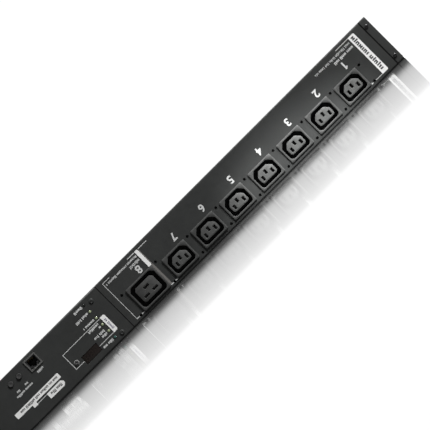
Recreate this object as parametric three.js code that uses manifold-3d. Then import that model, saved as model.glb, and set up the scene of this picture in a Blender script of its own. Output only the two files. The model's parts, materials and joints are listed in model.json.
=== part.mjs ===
// A vertical rack power strip: seven C13 sockets and one C19 socket behind a folded steel cover, a
// control section with a display, lamps, buttons and a network jack, and a C20 mains inlet.
//
// Millimetres. x runs along the strip towards the plain end cap, y from the socket face into the
// body, and z up across the face from the long edge that the strip stands on. Pieces are drawn with
// x = 0 at mid-length, y = 0 on the covers' outer face and z = 0 on the standing edge, and the whole
// group is moved at the end so that the middle of its footprint is the origin.
import * as THREE from "three";
import { mergeVertices } from "three/addons/utils/BufferGeometryUtils.js";
import Module from "manifold-3d";

// ---- Driving dimensions ----
const LENGTH = 640; // plain cap face to inlet flange face
const HEIGHT = 66; // across the socket face
const DEPTH = 44; // cover face to rear face
const SHEET = 1.2; // steel of the covers and the channel
const BEND = 1.8; // outer radius of a folded edge
const GAP = 0.3; // air between pieces that rest on each other
const SEAM_GAP = 0.8; // visible joint between two covers, or a cover and a cap
const BEZEL_PROUD = 1.5; // socket bezels in front of the covers
const INLET_PROUD = 3; // inlet flange in front of its cap
const CAP_WIDTH = 9.9; // of each end cap, along the strip
const CAP_WALL = 1.6;

// Places along the strip, counted from the plain end.
const FIRST_SOCKET = 65.9;
const SOCKET_PITCH = 46.2;
const C13_COUNT = 7;
const LARGE_SOCKET = 393.3;
const COVER_SEAM = 435.4;
const COVER_SCREW = 449.8;
const LAMPS = 459.3;
const DISPLAY = 491.6;
const FUNCTION_BUTTON = 511.1;
const LAN_JACK = 546;
const POWER_BUTTON = 568.8;
const RESET_BUTTON = 581.9;

// Places across the face.
const MID_Z = HEIGHT / 2;
const COVER_SCREW_Z = [6.4, 56.5];
const CAP_SCREW_Z = [9.8, 56.2];
const CAP_SCREW_INSET = 5.7; // from the cap's end face
const LAMP_COUNT = 6;
const LAMP_LOW_Z = 8.1;
const LAMP_PITCH = 10.2;
const DISPLAY_Z = 13.6;
const FUNCTION_BUTTON_Z = 18.3;
const LAN_JACK_Z = 54.4;
const ROUND_BUTTON_Z = 54.1;
const KEYHOLE_X = 285; // each side of mid-length, in the back wall

// Two kinds of socket. Slots are [x, z] from the core's centre; clip holes flank the bezel.
const C13 = {
  centreZ: 18.7,
  bezel: [35, 27.7],
  body: [32.2, 24.9],
  ring: { width: 30.4, height: 23.1, upperCut: 6.2, lowerRadius: 4 },
  core: { width: 22.8, height: 15, upperCut: 5.6, lowerRadius: 2.6 },
  slot: [3, 5.4],
  chamber: [4, 6.2],
  leaf: [3, 2.6],
  leafTip: { line: 4.5, neutral: 4.5, earth: 9 },
  line: [7, -2.5],
  neutral: [-7, -2.5],
  earth: [0, 1.5],
  clipHoleX: 23.1,
  clipHoleZ: [5.7, 31.2],
};
const C19 = {
  centreZ: 20.6,
  bezel: [42, 33],
  body: [39.4, 30.3],
  ring: { width: 37.4, height: 28.6, upperCut: 4.6, lowerRadius: 4.6 },
  core: { width: 27.6, height: 20, upperCut: 3, lowerRadius: 3 },
  slot: [7.2, 2.8],
  chamber: [8, 3.8],
  leaf: [5.8, 2.8],
  leafTip: { line: 9, neutral: 9, earth: 9 },
  line: [6.5, -4.8],
  neutral: [-6.5, -4.8],
  earth: [0, 3.4],
  clipHoleX: 27.2,
  clipHoleZ: [4.6, 36.3],
};
const CORE_SINK = 0.5; // core face behind the bezel face
const RING_DEPTH = 17; // floor of the ring below the cover face
const SLOT_DEPTH = 3; // the narrow mouth in front of each contact chamber
const SOCKET_BACK = 20; // rear face of the socket bodies
const CLIP_HOLE_RADIUS = 1.75;

// The busbars: depth of each strip, and its heights.
const BAR_THICKNESS = 1;
const BAR_LEFT = -113;
const BAR_RIGHT = 264;
const LINE_BAR = { y: 22, z: [8.5, 13.5] };
const EARTH_BAR = { y: 22, z: [26, 31] };
const NEUTRAL_BAR = { y: 26, z: [13.5, 18.9] };
const LEAF_THICKNESS = 0.55;
const LEAF_ROOT = 18.5;

// Control section.
const BOARD = { x: [-280, -133], y: [14.6, 16.2], z: [5, 61] };
const SUPPORTS = { x: [-268, -142], z: [10, 56] };
const SHEET_Y = [41.9, 42.4];
const SHEET_X = [-262, 262];
const LINING_Z = [4, 62]; // heights of the busbar tray and the insulating sheet
const BUTTON_TRAVEL = 0.8;
const BUTTON_PROUD = 1.1;

// C20 inlet.
const INLET = { y: 22, flange: [28, 50], body: [24, 34], cavity: [20.8, 30.8] };
const INLET_CAVITY_DEPTH = 17;
const INLET_BODY_LENGTH = 28;
const INLET_SCREW_SPREAD = 20.8; // each side of the middle
const PIN_TAIL = -286; // rear end of the pins
const PINS = {
  inlet_pin_line: [INLET.y + 4.8, MID_Z - 6.5],
  inlet_pin_neutral: [INLET.y + 4.8, MID_Z + 6.5],
  inlet_pin_earth: [INLET.y - 3.4, MID_Z],
};
const EARTH_STUD = [-290, 9]; // x and z

// Worked out from the above.
const RIGHT = LENGTH / 2;
const LEFT = INLET_PROUD - LENGTH / 2; // outer face of the inlet cap
const COVER_RIGHT = RIGHT - CAP_WIDTH - SEAM_GAP / 2;
const COVER_LEFT = LEFT + CAP_WIDTH + SEAM_GAP / 2;
const SEAM_X = fromPlainEnd(COVER_SEAM);
const CHANNEL_INSET = SHEET + GAP; // the channel nests inside the covers
const FLANGE_FRONT = 12; // where the channel's flanges stop

function fromPlainEnd(distance) {
  return RIGHT - distance;
}

// ---- Solids: closed meshes that can be joined and cut ----
const wasm = await Module();
wasm.setup();

function toSolid(geometry) {
  const bare = new THREE.BufferGeometry();
  bare.setAttribute("position", geometry.getAttribute("position"));
  bare.setIndex(geometry.index);
  const merged = mergeVertices(bare, 1e-4);
  return new wasm.Manifold(
    new wasm.Mesh({
      numProp: 3,
      vertProperties: merged.attributes.position.array,
      triVerts: new Uint32Array(merged.index.array),
    }),
  );
}

function toGeometry(solid) {
  const { vertProperties, triVerts } = solid.getMesh();
  const shared = new THREE.BufferGeometry();
  shared.setAttribute("position", new THREE.BufferAttribute(vertProperties, 3));
  shared.setIndex(new THREE.BufferAttribute(triVerts, 1));
  const geometry = shared.toNonIndexed();
  geometry.computeVertexNormals();
  return geometry;
}

function join(...solids) {
  return solids.reduce((whole, piece) => whole.add(piece));
}

function cut(solid, cutters) {
  return cutters.reduce((rest, cutter) => rest.subtract(cutter), solid);
}

// A box between two corners, given as ranges on each axis.
function block([x0, x1], [y0, y1], [z0, z1]) {
  const box = new THREE.BoxGeometry(x1 - x0, y1 - y0, z1 - z0);
  box.translate((x0 + x1) / 2, (y0 + y1) / 2, (z0 + z1) / 2);
  return toSolid(box);
}

// A box standing on a centre in the plane of the face, between two depths.
function blockAt([x, z], [width, height], [yFront, yBack]) {
  return block(
    [x - width / 2, x + width / 2],
    [yFront, yBack],
    [z - height / 2, z + height / 2],
  );
}

// A round bar or drill along y.
function roundAt([x, z], radius, [yFront, yBack], sides = 12) {
  const bar = new THREE.CylinderGeometry(radius, radius, yBack - yFront, sides);
  bar.translate(x, (yFront + yBack) / 2, z);
  return toSolid(bar);
}

// A shape drawn in the plane of the face (its y is the part's z), extruded between two depths.
function slab(shape, [yFront, yBack], curveSegments = 2) {
  const depth = yBack - yFront;
  const plate = new THREE.ExtrudeGeometry(shape, { depth, bevelEnabled: false, curveSegments });
  plate.rotateX(Math.PI / 2);
  plate.translate(0, yBack, 0);
  return toSolid(plate);
}

// A cross-section drawn with the part's y and z, extruded along x.
const SECTION_TO_PART = new THREE.Matrix4().makeBasis(
  new THREE.Vector3(0, 1, 0),
  new THREE.Vector3(0, 0, 1),
  new THREE.Vector3(1, 0, 0),
);

function extrusion(section, [x0, x1], curveSegments = 2) {
  const depth = x1 - x0;
  const bar = new THREE.ExtrudeGeometry(section, { depth, bevelEnabled: false, curveSegments });
  bar.applyMatrix4(SECTION_TO_PART);
  bar.translate(x0, 0, 0);
  return toSolid(bar);
}

// A turned piece about the y axis, from [radius, y] points that run from its back to its front.
function turned(points, sides = 12) {
  const profile = points.map(([radius, y]) => new THREE.Vector2(radius, y));
  return new THREE.LatheGeometry(profile.reverse(), sides);
}

// ---- Outlines ----
function rectangle(width, height, radius, x = 0, z = 0) {
  return cornered({ width, height, upperRadius: radius, lowerRadius: radius }, x, z);
}

// A rectangle whose upper corners are cut straight or rounded, and whose lower corners are rounded.
function cornered({ width, height, upperCut = 0, upperRadius = 0, lowerRadius }, x = 0, z = 0) {
  const right = x + width / 2;
  const left = x - width / 2;
  const top = z + height / 2;
  const bottom = z - height / 2;
  const upper = upperCut || upperRadius;
  const quarter = Math.PI / 2;
  const shape = new THREE.Shape();
  shape.moveTo(left + lowerRadius, bottom);
  shape.lineTo(right - lowerRadius, bottom);
  shape.absarc(right - lowerRadius, bottom + lowerRadius, lowerRadius, -quarter, 0, false);
  shape.lineTo(right, top - upper);
  if (upperCut) shape.lineTo(right - upper, top);
  else shape.absarc(right - upper, top - upper, upper, 0, quarter, false);
  shape.lineTo(left + upper, top);
  if (upperCut) shape.lineTo(left, top - upper);
  else shape.absarc(left + upper, top - upper, upper, quarter, 2 * quarter, false);
  shape.lineTo(left, bottom + lowerRadius);
  shape.absarc(left + lowerRadius, bottom + lowerRadius, lowerRadius, -2 * quarter, -quarter, false);
  return shape;
}

// The section of a folded U, drawn with y and z: its web lies at webY, and its flanges reach to
// flangeY, forwards or backwards.
function foldedU(webY, flangeY, zLow, zHigh) {
  const side = Math.sign(flangeY - webY);
  const bendY = webY + side * BEND;
  const innerBend = BEND - SHEET;
  const webAngle = side > 0 ? Math.PI : 0;
  const clockwise = side > 0;
  const up = Math.PI / 2;
  const shape = new THREE.Shape();
  shape.moveTo(flangeY, zLow);
  shape.lineTo(bendY, zLow);
  shape.absarc(bendY, zLow + BEND, BEND, -up, clockwise ? -webAngle : webAngle, clockwise);
  shape.lineTo(webY, zHigh - BEND);
  shape.absarc(bendY, zHigh - BEND, BEND, webAngle, up, clockwise);
  shape.lineTo(flangeY, zHigh);
  shape.lineTo(flangeY, zHigh - SHEET);
  shape.lineTo(bendY, zHigh - SHEET);
  shape.absarc(bendY, zHigh - BEND, innerBend, up, webAngle, !clockwise);
  shape.lineTo(webY + side * SHEET, zLow + BEND);
  shape.absarc(bendY, zLow + BEND, innerBend, clockwise ? -webAngle : webAngle, -up, !clockwise);
  shape.lineTo(flangeY, zLow + SHEET);
  return shape;
}

// ---- Materials ----
function material(color, roughness, metalness = 0) {
  return new THREE.MeshStandardMaterial({ color, roughness, metalness });
}

const COVER_PAINT = material(0x434645, 0.6, 0.2);
const CHANNEL_PAINT = material(0x3a3c3b, 0.6, 0.2);
const CAP_PAINT = material(0x3d3f3e, 0.6, 0.2);
const SOCKET_PLASTIC = material(0x58595a, 0.55);
const LARGE_SOCKET_PLASTIC = material(0x4c4d4d, 0.55);
const INLET_PLASTIC = material(0x1b1c1c, 0.5);
const BLACK_SCREW = material(0x202121, 0.35, 0.8);
const TINNED_COPPER = material(0x9c9b97, 0.35, 1);
const BRASS = material(0xc8a858, 0.3, 1);
const NICKEL = material(0xc9c9c6, 0.25, 1);
const TRAY_PLASTIC = material(0x6b6f72, 0.7);
const CLEAR_SHEET = material(0xdedbcf, 0.5);
const BOARD_GREEN = material(0x1f5a38, 0.5);
const MODULE_BLACK = material(0x18191a, 0.55);
const NYLON = material(0xe6e3d8, 0.5);
const SMOKED_WINDOW = material(0x2b2523, 0.15);
const BUTTON_PLASTIC = material(0x2a2b2b, 0.5);
const LAMP_GREEN = material(0xb8c66a, 0.3);
const LAMP_TEAL = material(0x3f8f82, 0.3);
const LAMP_OFF = material(0x2c302e, 0.3);
const WIRE_BROWN = material(0x6a3f24, 0.6);
const WIRE_BLUE = material(0x2c5fa0, 0.6);
const WIRE_GREEN = material(0x4f8a3a, 0.6);

const strip = new THREE.Group();

function place(name, shape, surface, x = 0, y = 0, z = 0) {
  const geometry = shape.isBufferGeometry ? shape : toGeometry(shape);
  const mesh = new THREE.Mesh(geometry, surface);
  mesh.name = name;
  mesh.position.set(x, y, z);
  strip.add(mesh);
}

// ---- Sockets ----
// Centred on x = 0, z = 0, with the cover face at y = 0.
function socketBody(kind) {
  const [bodyWidth, bodyHeight] = kind.body;
  const coreFace = CORE_SINK - BEZEL_PROUD;
  const bezel = slab(rectangle(...kind.bezel, 1.2), [-BEZEL_PROUD, -0.1]);
  const body = slab(rectangle(bodyWidth, bodyHeight, 1), [-0.2, SOCKET_BACK]);
  const ringHole = slab(cornered(kind.ring), [-BEZEL_PROUD - 1, RING_DEPTH]);
  const core = slab(cornered(kind.core), [coreFace, RING_DEPTH + 1]);
  const shell = join(cut(join(bezel, body), [ringHole]), core);
  const openings = [kind.line, kind.neutral, kind.earth].flatMap((centre) => [
    blockAt(centre, kind.slot, [coreFace - 1, SLOT_DEPTH + 0.1]),
    blockAt(centre, kind.chamber, [SLOT_DEPTH, SOCKET_BACK + 1]),
  ]);
  const catches = [-1, 1].map((side) => snapCatch(side, bodyWidth / 2));
  return join(cut(shell, openings), ...catches);
}

// A wedge on a socket's side that springs out behind the cover.
function snapCatch(side, bodyEdge) {
  const wedge = new THREE.Shape();
  const front = SHEET + 0.5;
  const length = 5.5;
  const rise = 1;
  wedge.moveTo(side * (bodyEdge - 0.5), front);
  wedge.lineTo(side * (bodyEdge + rise), front);
  wedge.lineTo(side * (bodyEdge + rise), front + 1);
  wedge.lineTo(side * (bodyEdge - 0.5), front + length);
  const height = 9;
  const bar = new THREE.ExtrudeGeometry(wedge, { depth: height, bevelEnabled: false });
  bar.translate(0, 0, -height / 2);
  return toSolid(bar);
}

const SOCKETS = Array.from({ length: C13_COUNT }, (_, index) => ({
  x: fromPlainEnd(FIRST_SOCKET + SOCKET_PITCH * index),
  kind: C13,
}));
SOCKETS.push({ x: fromPlainEnd(LARGE_SOCKET), kind: C19 });

const c13Geometry = toGeometry(socketBody(C13));
SOCKETS.slice(0, C13_COUNT).forEach(({ x, kind }, index) => {
  place(`outlet_${index + 1}`, c13Geometry, SOCKET_PLASTIC, x, 0, kind.centreZ);
});
place("outlet_8", socketBody(C19), LARGE_SOCKET_PLASTIC, fromPlainEnd(LARGE_SOCKET), 0, C19.centreZ);

// ---- Covers ----
const COVER_FACE = [-1, SHEET + 1]; // cutters pass through the cover's face only
const SCREW_HOLE_RADIUS = 1.9;

function socketCutters({ x, kind }) {
  const [width, height] = kind.body;
  const opening = [width + 2 * GAP, height + 2 * GAP];
  const holes = kind.clipHoleZ.flatMap((z) => {
    const sides = kind === C13 ? [1] : [1, -1];
    return sides.map((side) =>
      roundAt([x + side * kind.clipHoleX, z], CLIP_HOLE_RADIUS, COVER_FACE),
    );
  });
  return [blockAt([x, kind.centreZ], opening, COVER_FACE), ...holes];
}

// The tongue lies behind the control cover, so that the two covers share their screws.
const coverScrewX = fromPlainEnd(COVER_SCREW);
const tongue = {
  x: [SEAM_X - 20.5, SEAM_X + SEAM_GAP / 2 + 2],
  y: [SHEET + GAP, 2 * SHEET + GAP],
  z: [3.2, HEIGHT - 3.2],
};
const tongueCutter = [tongue.y[0] - 1, tongue.y[1] + 1];
const joggle = block([SEAM_X + SEAM_GAP / 2, tongue.x[1]], [SHEET / 2, tongue.y[1]], tongue.z);
const outletCover = cut(
  join(
    extrusion(foldedU(0, DEPTH, 0, HEIGHT), [SEAM_X + SEAM_GAP / 2, COVER_RIGHT]),
    block(tongue.x, tongue.y, tongue.z),
    joggle,
  ),
  [
    ...SOCKETS.flatMap(socketCutters),
    ...COVER_SCREW_Z.map((z) => roundAt([coverScrewX, z], SCREW_HOLE_RADIUS, tongueCutter)),
  ],
);
place("outlet_cover", outletCover, COVER_PAINT);

const lampX = fromPlainEnd(LAMPS);
const lampHeights = Array.from({ length: LAMP_COUNT }, (_, index) => LAMP_LOW_Z + LAMP_PITCH * index);
const WINDOW = [23.4, 10.5];
const JACK = [17.6, 15.6];
const BUTTONS = [
  { name: "function", x: fromPlainEnd(FUNCTION_BUTTON), z: FUNCTION_BUTTON_Z, radius: 2.2 },
  { name: "power", x: fromPlainEnd(POWER_BUTTON), z: ROUND_BUTTON_Z, radius: 3.3 },
  { name: "reset", x: fromPlainEnd(RESET_BUTTON), z: ROUND_BUTTON_Z, radius: 3.3 },
];
const BUTTON_PLAY = 0.35; // round a cap, in its hole

function grown([width, height], margin) {
  return [width + 2 * margin, height + 2 * margin];
}

const controlCover = cut(
  extrusion(foldedU(0, DEPTH, 0, HEIGHT), [COVER_LEFT, SEAM_X - SEAM_GAP / 2]),
  [
    blockAt([fromPlainEnd(DISPLAY), DISPLAY_Z], grown(WINDOW, GAP), COVER_FACE),
    blockAt([fromPlainEnd(LAN_JACK), LAN_JACK_Z], grown(JACK, GAP), COVER_FACE),
    ...lampHeights.map((z) => roundAt([lampX, z], 1.8, COVER_FACE, 16)),
    ...BUTTONS.map(({ x, z, radius }) => roundAt([x, z], radius + BUTTON_PLAY, COVER_FACE, 20)),
    ...COVER_SCREW_Z.map((z) => roundAt([coverScrewX, z], SCREW_HOLE_RADIUS, COVER_FACE)),
  ],
);
place("control_cover", controlCover, COVER_PAINT);

// ---- Rear channel, with tabs behind the screws and keyholes in its back wall ----
const CHANNEL_LOW = CHANNEL_INSET;
const CHANNEL_HIGH = HEIGHT - CHANNEL_INSET;
const TAB_REACH = 11.5; // of a tab in from its flange
const TAB_Y = [3, 3 + SHEET];

// A tab behind one screw: a finger of the flange comes forward and folds over behind the cover.
function screwTab(screwX, screwZ, [rootLeft, rootRight], [tabLeft, tabRight]) {
  const upper = screwZ > MID_Z;
  const edge = upper ? CHANNEL_HIGH : CHANNEL_LOW;
  const inward = upper ? -1 : 1;
  const fingerZ = [edge, edge + inward * SHEET].sort((a, b) => a - b);
  const tabZ = [edge, edge + inward * (TAB_REACH + SHEET)].sort((a, b) => a - b);
  const insetZ = tabZ.map((z) => Math.min(Math.max(z, CAP_WALL + 2 * GAP), HEIGHT - CAP_WALL - 2 * GAP));
  const finger = block([rootLeft, rootRight], [TAB_Y[0], FLANGE_FRONT + 1], fingerZ);
  const tab = block([tabLeft, tabRight], TAB_Y, insetZ);
  return cut(join(finger, tab), [roundAt([screwX, screwZ], 1.7, [0, 8])]);
}

const capScrewRight = RIGHT - CAP_SCREW_INSET;
const capScrewLeft = LEFT + CAP_SCREW_INSET;
const screwTabs = [
  ...COVER_SCREW_Z.map((z) =>
    screwTab(coverScrewX, z, [coverScrewX - 6, coverScrewX + 6], [coverScrewX - 6, coverScrewX + 6]),
  ),
  ...CAP_SCREW_Z.map((z) =>
    screwTab(capScrewRight, z, [COVER_RIGHT - 8, COVER_RIGHT], [COVER_RIGHT - 8, capScrewRight + 3]),
  ),
  ...CAP_SCREW_Z.map((z) =>
    screwTab(capScrewLeft, z, [COVER_LEFT, COVER_LEFT + 8], [capScrewLeft - 3, COVER_LEFT + 8]),
  ),
];

function keyhole(x) {
  const rearWall = [DEPTH - SHEET - 1, DEPTH + 1];
  const slotLength = 12;
  return [
    roundAt([x, MID_Z], 4.8, rearWall, 24),
    block([x, x + slotLength], rearWall, [MID_Z - 2.3, MID_Z + 2.3]),
    roundAt([x + slotLength, MID_Z], 2.3, rearWall, 16),
  ];
}

const rearChannel = cut(
  join(
    extrusion(foldedU(DEPTH, FLANGE_FRONT, CHANNEL_LOW, CHANNEL_HIGH), [COVER_LEFT, COVER_RIGHT]),
    ...screwTabs,
  ),
  [...keyhole(KEYHOLE_X), ...keyhole(-KEYHOLE_X)],
);
place("rear_channel", rearChannel, CHANNEL_PAINT);

// ---- End caps ----
// A shallow box that closes one end; side is 1 at the plain end and -1 at the inlet.
function endCap(endX, side) {
  const section = rectangle(DEPTH, HEIGHT, BEND, DEPTH / 2, MID_Z);
  const hollow = rectangle(DEPTH - 2 * CAP_WALL, HEIGHT - 2 * CAP_WALL, 0.6, DEPTH / 2, MID_Z);
  const inner = endX - side * (CAP_WIDTH - SEAM_GAP / 2);
  const wall = endX - side * CAP_WALL;
  const ordered = (a, b) => [Math.min(a, b), Math.max(a, b)];
  const box = extrusion(section, ordered(endX, inner));
  const space = extrusion(hollow, ordered(wall, inner - side));
  const screwX = endX - side * CAP_SCREW_INSET;
  const holes = CAP_SCREW_Z.map((z) => roundAt([screwX, z], 1.6, [-1, CAP_WALL + 1]));
  return cut(box, [space, ...holes]);
}

place("end_cap_plain", endCap(RIGHT, 1), CAP_PAINT);

const [flangeDepth, flangeHeight] = INLET.flange;
const [inletDepth, inletHeight] = INLET.body;
const inletOpening = rectangle(inletDepth + 2 * GAP, inletHeight + 2 * GAP, 1, INLET.y, MID_Z);
const inletScrewZ = [MID_Z - INLET_SCREW_SPREAD, MID_Z + INLET_SCREW_SPREAD];

// A round bar along x, for the inlet's screw holes.
function roundAlongX([y, z], radii, [x0, x1]) {
  const bar = new THREE.CylinderGeometry(radii[1], radii[0], x1 - x0, 12);
  bar.rotateZ(-Math.PI / 2);
  bar.translate((x0 + x1) / 2, y, z);
  return toSolid(bar);
}

const inletCap = cut(endCap(LEFT, -1), [
  extrusion(inletOpening, [LEFT - 1, LEFT + CAP_WALL + 1]),
  ...inletScrewZ.map((z) => roundAlongX([INLET.y, z], [1.7, 1.7], [LEFT - 1, LEFT + CAP_WALL + 1])),
]);
place("end_cap_inlet", inletCap, CAP_PAINT);

// ---- Inlet ----
const inletFace = LEFT - INLET_PROUD;
const cavityFloor = inletFace + INLET_CAVITY_DEPTH;
const PIN_BLADE = [2, 8]; // y and z
const [cavityDepth, cavityHeight] = INLET.cavity;

const inletBody = cut(
  join(
    extrusion(rectangle(flangeDepth, flangeHeight, 3, INLET.y, MID_Z), [inletFace, LEFT - 0.1]),
    extrusion(rectangle(inletDepth, inletHeight, 1, INLET.y, MID_Z), [
      LEFT - 1,
      LEFT - 0.1 + INLET_BODY_LENGTH - INLET_PROUD,
    ]),
  ),
  [
    extrusion(rectangle(cavityDepth, cavityHeight, 2.6, INLET.y, MID_Z), [inletFace - 1, cavityFloor]),
    ...Object.values(PINS).map(([y, z]) =>
      block(
        [cavityFloor - 1, PIN_TAIL],
        [y - PIN_BLADE[0] / 2 - GAP, y + PIN_BLADE[0] / 2 + GAP],
        [z - PIN_BLADE[1] / 2 - GAP, z + PIN_BLADE[1] / 2 + GAP],
      ),
    ),
    ...inletScrewZ.flatMap((z) => [
      roundAlongX([INLET.y, z], [1.7, 1.7], [inletFace - 1, LEFT + 1]),
      roundAlongX([INLET.y, z], [3.6, 1.4], [inletFace - 0.3, inletFace + 1.9]),
    ]),
  ],
);
place("inlet_body", inletBody, INLET_PLASTIC);

const PIN_START = inletFace + 3; // the blades stop short of the rim
Object.entries(PINS).forEach(([name, [y, z]]) => {
  const blade = block(
    [PIN_START, PIN_TAIL],
    [y - PIN_BLADE[0] / 2, y + PIN_BLADE[0] / 2],
    [z - PIN_BLADE[1] / 2, z + PIN_BLADE[1] / 2],
  );
  const tipBevels = [-1, 1].map((side) => {
    const wedge = new THREE.Shape();
    const tip = side * (PIN_BLADE[1] / 2 - 1);
    wedge.moveTo(y - 2, z + side * (PIN_BLADE[1] / 2 + 1));
    wedge.lineTo(y + 2, z + side * (PIN_BLADE[1] / 2 + 1));
    wedge.lineTo(y + 2, z + tip);
    wedge.lineTo(y - 2, z + tip);
    return extrusion(wedge, [PIN_START - 1, PIN_START + 1]);
  });
  place(name, cut(blade, tipBevels), NICKEL);
});

// ---- Screws, drawn with the underside of the head at y = 0 and the shank going inwards ----
function panScrew(headRadius, headHeight, shankRadius, shankLength) {
  const driver = headRadius * 0.62;
  const head = turned([
    [0, shankLength],
    [shankRadius - 0.4, shankLength],
    [shankRadius, shankLength - 0.5],
    [shankRadius, 0],
    [headRadius, 0],
    [headRadius, -headHeight * 0.45],
    [headRadius * 0.72, -headHeight],
    [0, -headHeight],
  ]);
  const recess = [-headHeight - 1, -headHeight * 0.35];
  return cut(toSolid(head), [
    blockAt([0, 0], [2 * driver, 0.55], recess),
    blockAt([0, 0], [0.55, 2 * driver], recess),
  ]);
}

const capScrew = toGeometry(panScrew(2.3, 1.1, 1.3, 6));
const coverScrew = toGeometry(panScrew(2.9, 0.8, 1.4, 7));
const HEAD_LIFT = -0.1; // heads clear the faces they sit on
CAP_SCREW_Z.forEach((z, index) => {
  const which = ["lower", "upper"][index];
  place(`cap_screw_plain_${which}`, capScrew, BLACK_SCREW, capScrewRight, HEAD_LIFT, z);
  place(`cap_screw_inlet_${which}`, capScrew, BLACK_SCREW, capScrewLeft, HEAD_LIFT, z);
});
COVER_SCREW_Z.forEach((z, index) => {
  const which = ["lower", "upper"][index];
  place(`cover_screw_${which}`, coverScrew, BLACK_SCREW, coverScrewX, HEAD_LIFT, z);
});

// The inlet's two countersunk screws lie along x, flush with the flange.
inletScrewZ.forEach((z, index) => {
  const screw = turned([
    [0, 10],
    [1.4, 10],
    [1.4, 1.7],
    [3.1, 0.1],
    [0, 0.1],
  ]);
  screw.rotateZ(-Math.PI / 2);
  place(`inlet_screw_${["lower", "upper"][index]}`, screw, BLACK_SCREW, inletFace, INLET.y, z);
});

// ---- Busbars ----
// A spring clip: two leaves along the slot's long sides, joined at the back.
function contactClip([x, z], kind, leafTip, barY) {
  const [leafWidth, leafHeight] = kind.leaf;
  const upright = kind.slot[1] > kind.slot[0];
  const leafSize = upright ? [LEAF_THICKNESS, leafHeight] : [leafWidth, LEAF_THICKNESS];
  const offset = ((upright ? leafWidth : leafHeight) - LEAF_THICKNESS) / 2;
  const leaves = [-offset, offset].map((shift) => {
    const centre = upright ? [x + shift, z] : [x, z + shift];
    return blockAt(centre, leafSize, [leafTip, LEAF_ROOT + 0.5]);
  });
  return join(blockAt([x, z], kind.leaf, [LEAF_ROOT, barY + BAR_THICKNESS / 2]), ...leaves);
}

// One bar with a clip in every socket; a tab joins each clip to the bar where they are apart.
function busbar(bar, contact) {
  const barY = [bar.y, bar.y + BAR_THICKNESS];
  const contacts = SOCKETS.flatMap(({ x, kind }) => {
    const centre = [x + kind[contact][0], kind.centreZ + kind[contact][1]];
    const half = kind.leaf[1] / 2;
    const low = Math.min(centre[1] - half, bar.z[1] - 1);
    const high = Math.max(centre[1] + half, bar.z[0] + 1);
    const tab = block([centre[0] - 2.4, centre[0] + 2.4], barY, [low, high]);
    return [contactClip(centre, kind, kind.leafTip[contact], bar.y), tab];
  });
  return join(block([BAR_LEFT, BAR_RIGHT], barY, bar.z), ...contacts);
}

place("line_busbar", busbar(LINE_BAR, "line"), TINNED_COPPER);
place("neutral_busbar", busbar(NEUTRAL_BAR, "neutral"), TINNED_COPPER);
place("earth_busbar", busbar(EARTH_BAR, "earth"), TINNED_COPPER);

// The tray: a back plate, a rib behind each bar, and feet down to the insulating sheet.
const trayX = [BAR_LEFT + 1, BAR_RIGHT + 4];
const TRAY_Y = [28, 30];
const trayRibs = [LINE_BAR, EARTH_BAR, NEUTRAL_BAR].map(({ y, z }) =>
  block(trayX, [y + BAR_THICKNESS + GAP, TRAY_Y[0] + 0.5], [z[0] + 1, z[0] + 3]),
);
const footY = [TRAY_Y[1] - 0.5, SHEET_Y[0] - GAP];
const trayFeet = [-60, 78, 216].map((x) => block([x - 3, x + 3], footY, [8, 58]));
const trayPlate = block(trayX, TRAY_Y, LINING_Z);
place("busbar_tray", join(trayPlate, ...trayRibs, ...trayFeet), TRAY_PLASTIC);

const sheetCutter = [SHEET_Y[0] - 1, SHEET_Y[1] + 1];
const sheetHoles = SUPPORTS.z.map((z) => roundAt([SUPPORTS.x[1], z], 3.6, sheetCutter));
place("insulating_sheet", cut(block(SHEET_X, SHEET_Y, LINING_Z), sheetHoles), CLEAR_SHEET);

// ---- Control board and what stands on it ----
const supportPoints = SUPPORTS.x.flatMap((x) => SUPPORTS.z.map((z) => [x, z]));
const boardHoles = supportPoints.map((point) => roundAt(point, 1.9, [BOARD.y[0] - 1, BOARD.y[1] + 1]));
place("control_board", cut(block(BOARD.x, BOARD.y, BOARD.z), boardHoles), BOARD_GREEN);

// A nylon spacer: foot on the back wall, shoulder under the board, and a barbed head through it.
const supportFoot = DEPTH - SHEET - GAP;
const boardSupport = turned([
  [0, supportFoot],
  [2.5, supportFoot],
  [2.5, BOARD.y[1] + GAP],
  [1.5, BOARD.y[1] + GAP],
  [1.5, BOARD.y[0] - GAP],
  [2.2, BOARD.y[0] - GAP],
  [1.2, BOARD.y[0] - 1.6],
  [0, BOARD.y[0] - 1.6],
], 10);
supportPoints.forEach(([x, z], index) => {
  place(`board_support_${index + 1}`, boardSupport, NYLON, x, 0, z);
});

const POWER_MODULE = { x: [-262, -205], y: [BOARD.y[1] + 0.8, 35], z: [5, 26] };
const moduleSection = rectangle(
  POWER_MODULE.y[1] - POWER_MODULE.y[0],
  POWER_MODULE.z[1] - POWER_MODULE.z[0],
  1.5,
  (POWER_MODULE.y[0] + POWER_MODULE.y[1]) / 2,
  (POWER_MODULE.z[0] + POWER_MODULE.z[1]) / 2,
);
place("power_supply", extrusion(moduleSection, POWER_MODULE.x), MODULE_BLACK);

// The current sensor: a ring round the line wire, on a foot that stands on the board's back.
const SENSOR = { x: [-196, -188], y: 26.8, z: 40, inner: 2.6, outer: 7.5 };
const sensorSection = new THREE.Shape();
sensorSection.absarc(SENSOR.y, SENSOR.z, SENSOR.outer, 0, 2 * Math.PI, false);
const sensorHole = new THREE.Path();
sensorHole.absarc(SENSOR.y, SENSOR.z, SENSOR.inner, 0, 2 * Math.PI, true);
sensorSection.holes.push(sensorHole);
const sensorFoot = block(
  [SENSOR.x[0] + 1, SENSOR.x[1] - 1],
  [BOARD.y[1] + GAP, SENSOR.y - SENSOR.outer + 1.5],
  [SENSOR.z - 4, SENSOR.z + 4],
);
place("current_sensor", join(extrusion(sensorSection, SENSOR.x, 10), sensorFoot), MODULE_BLACK);

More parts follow.
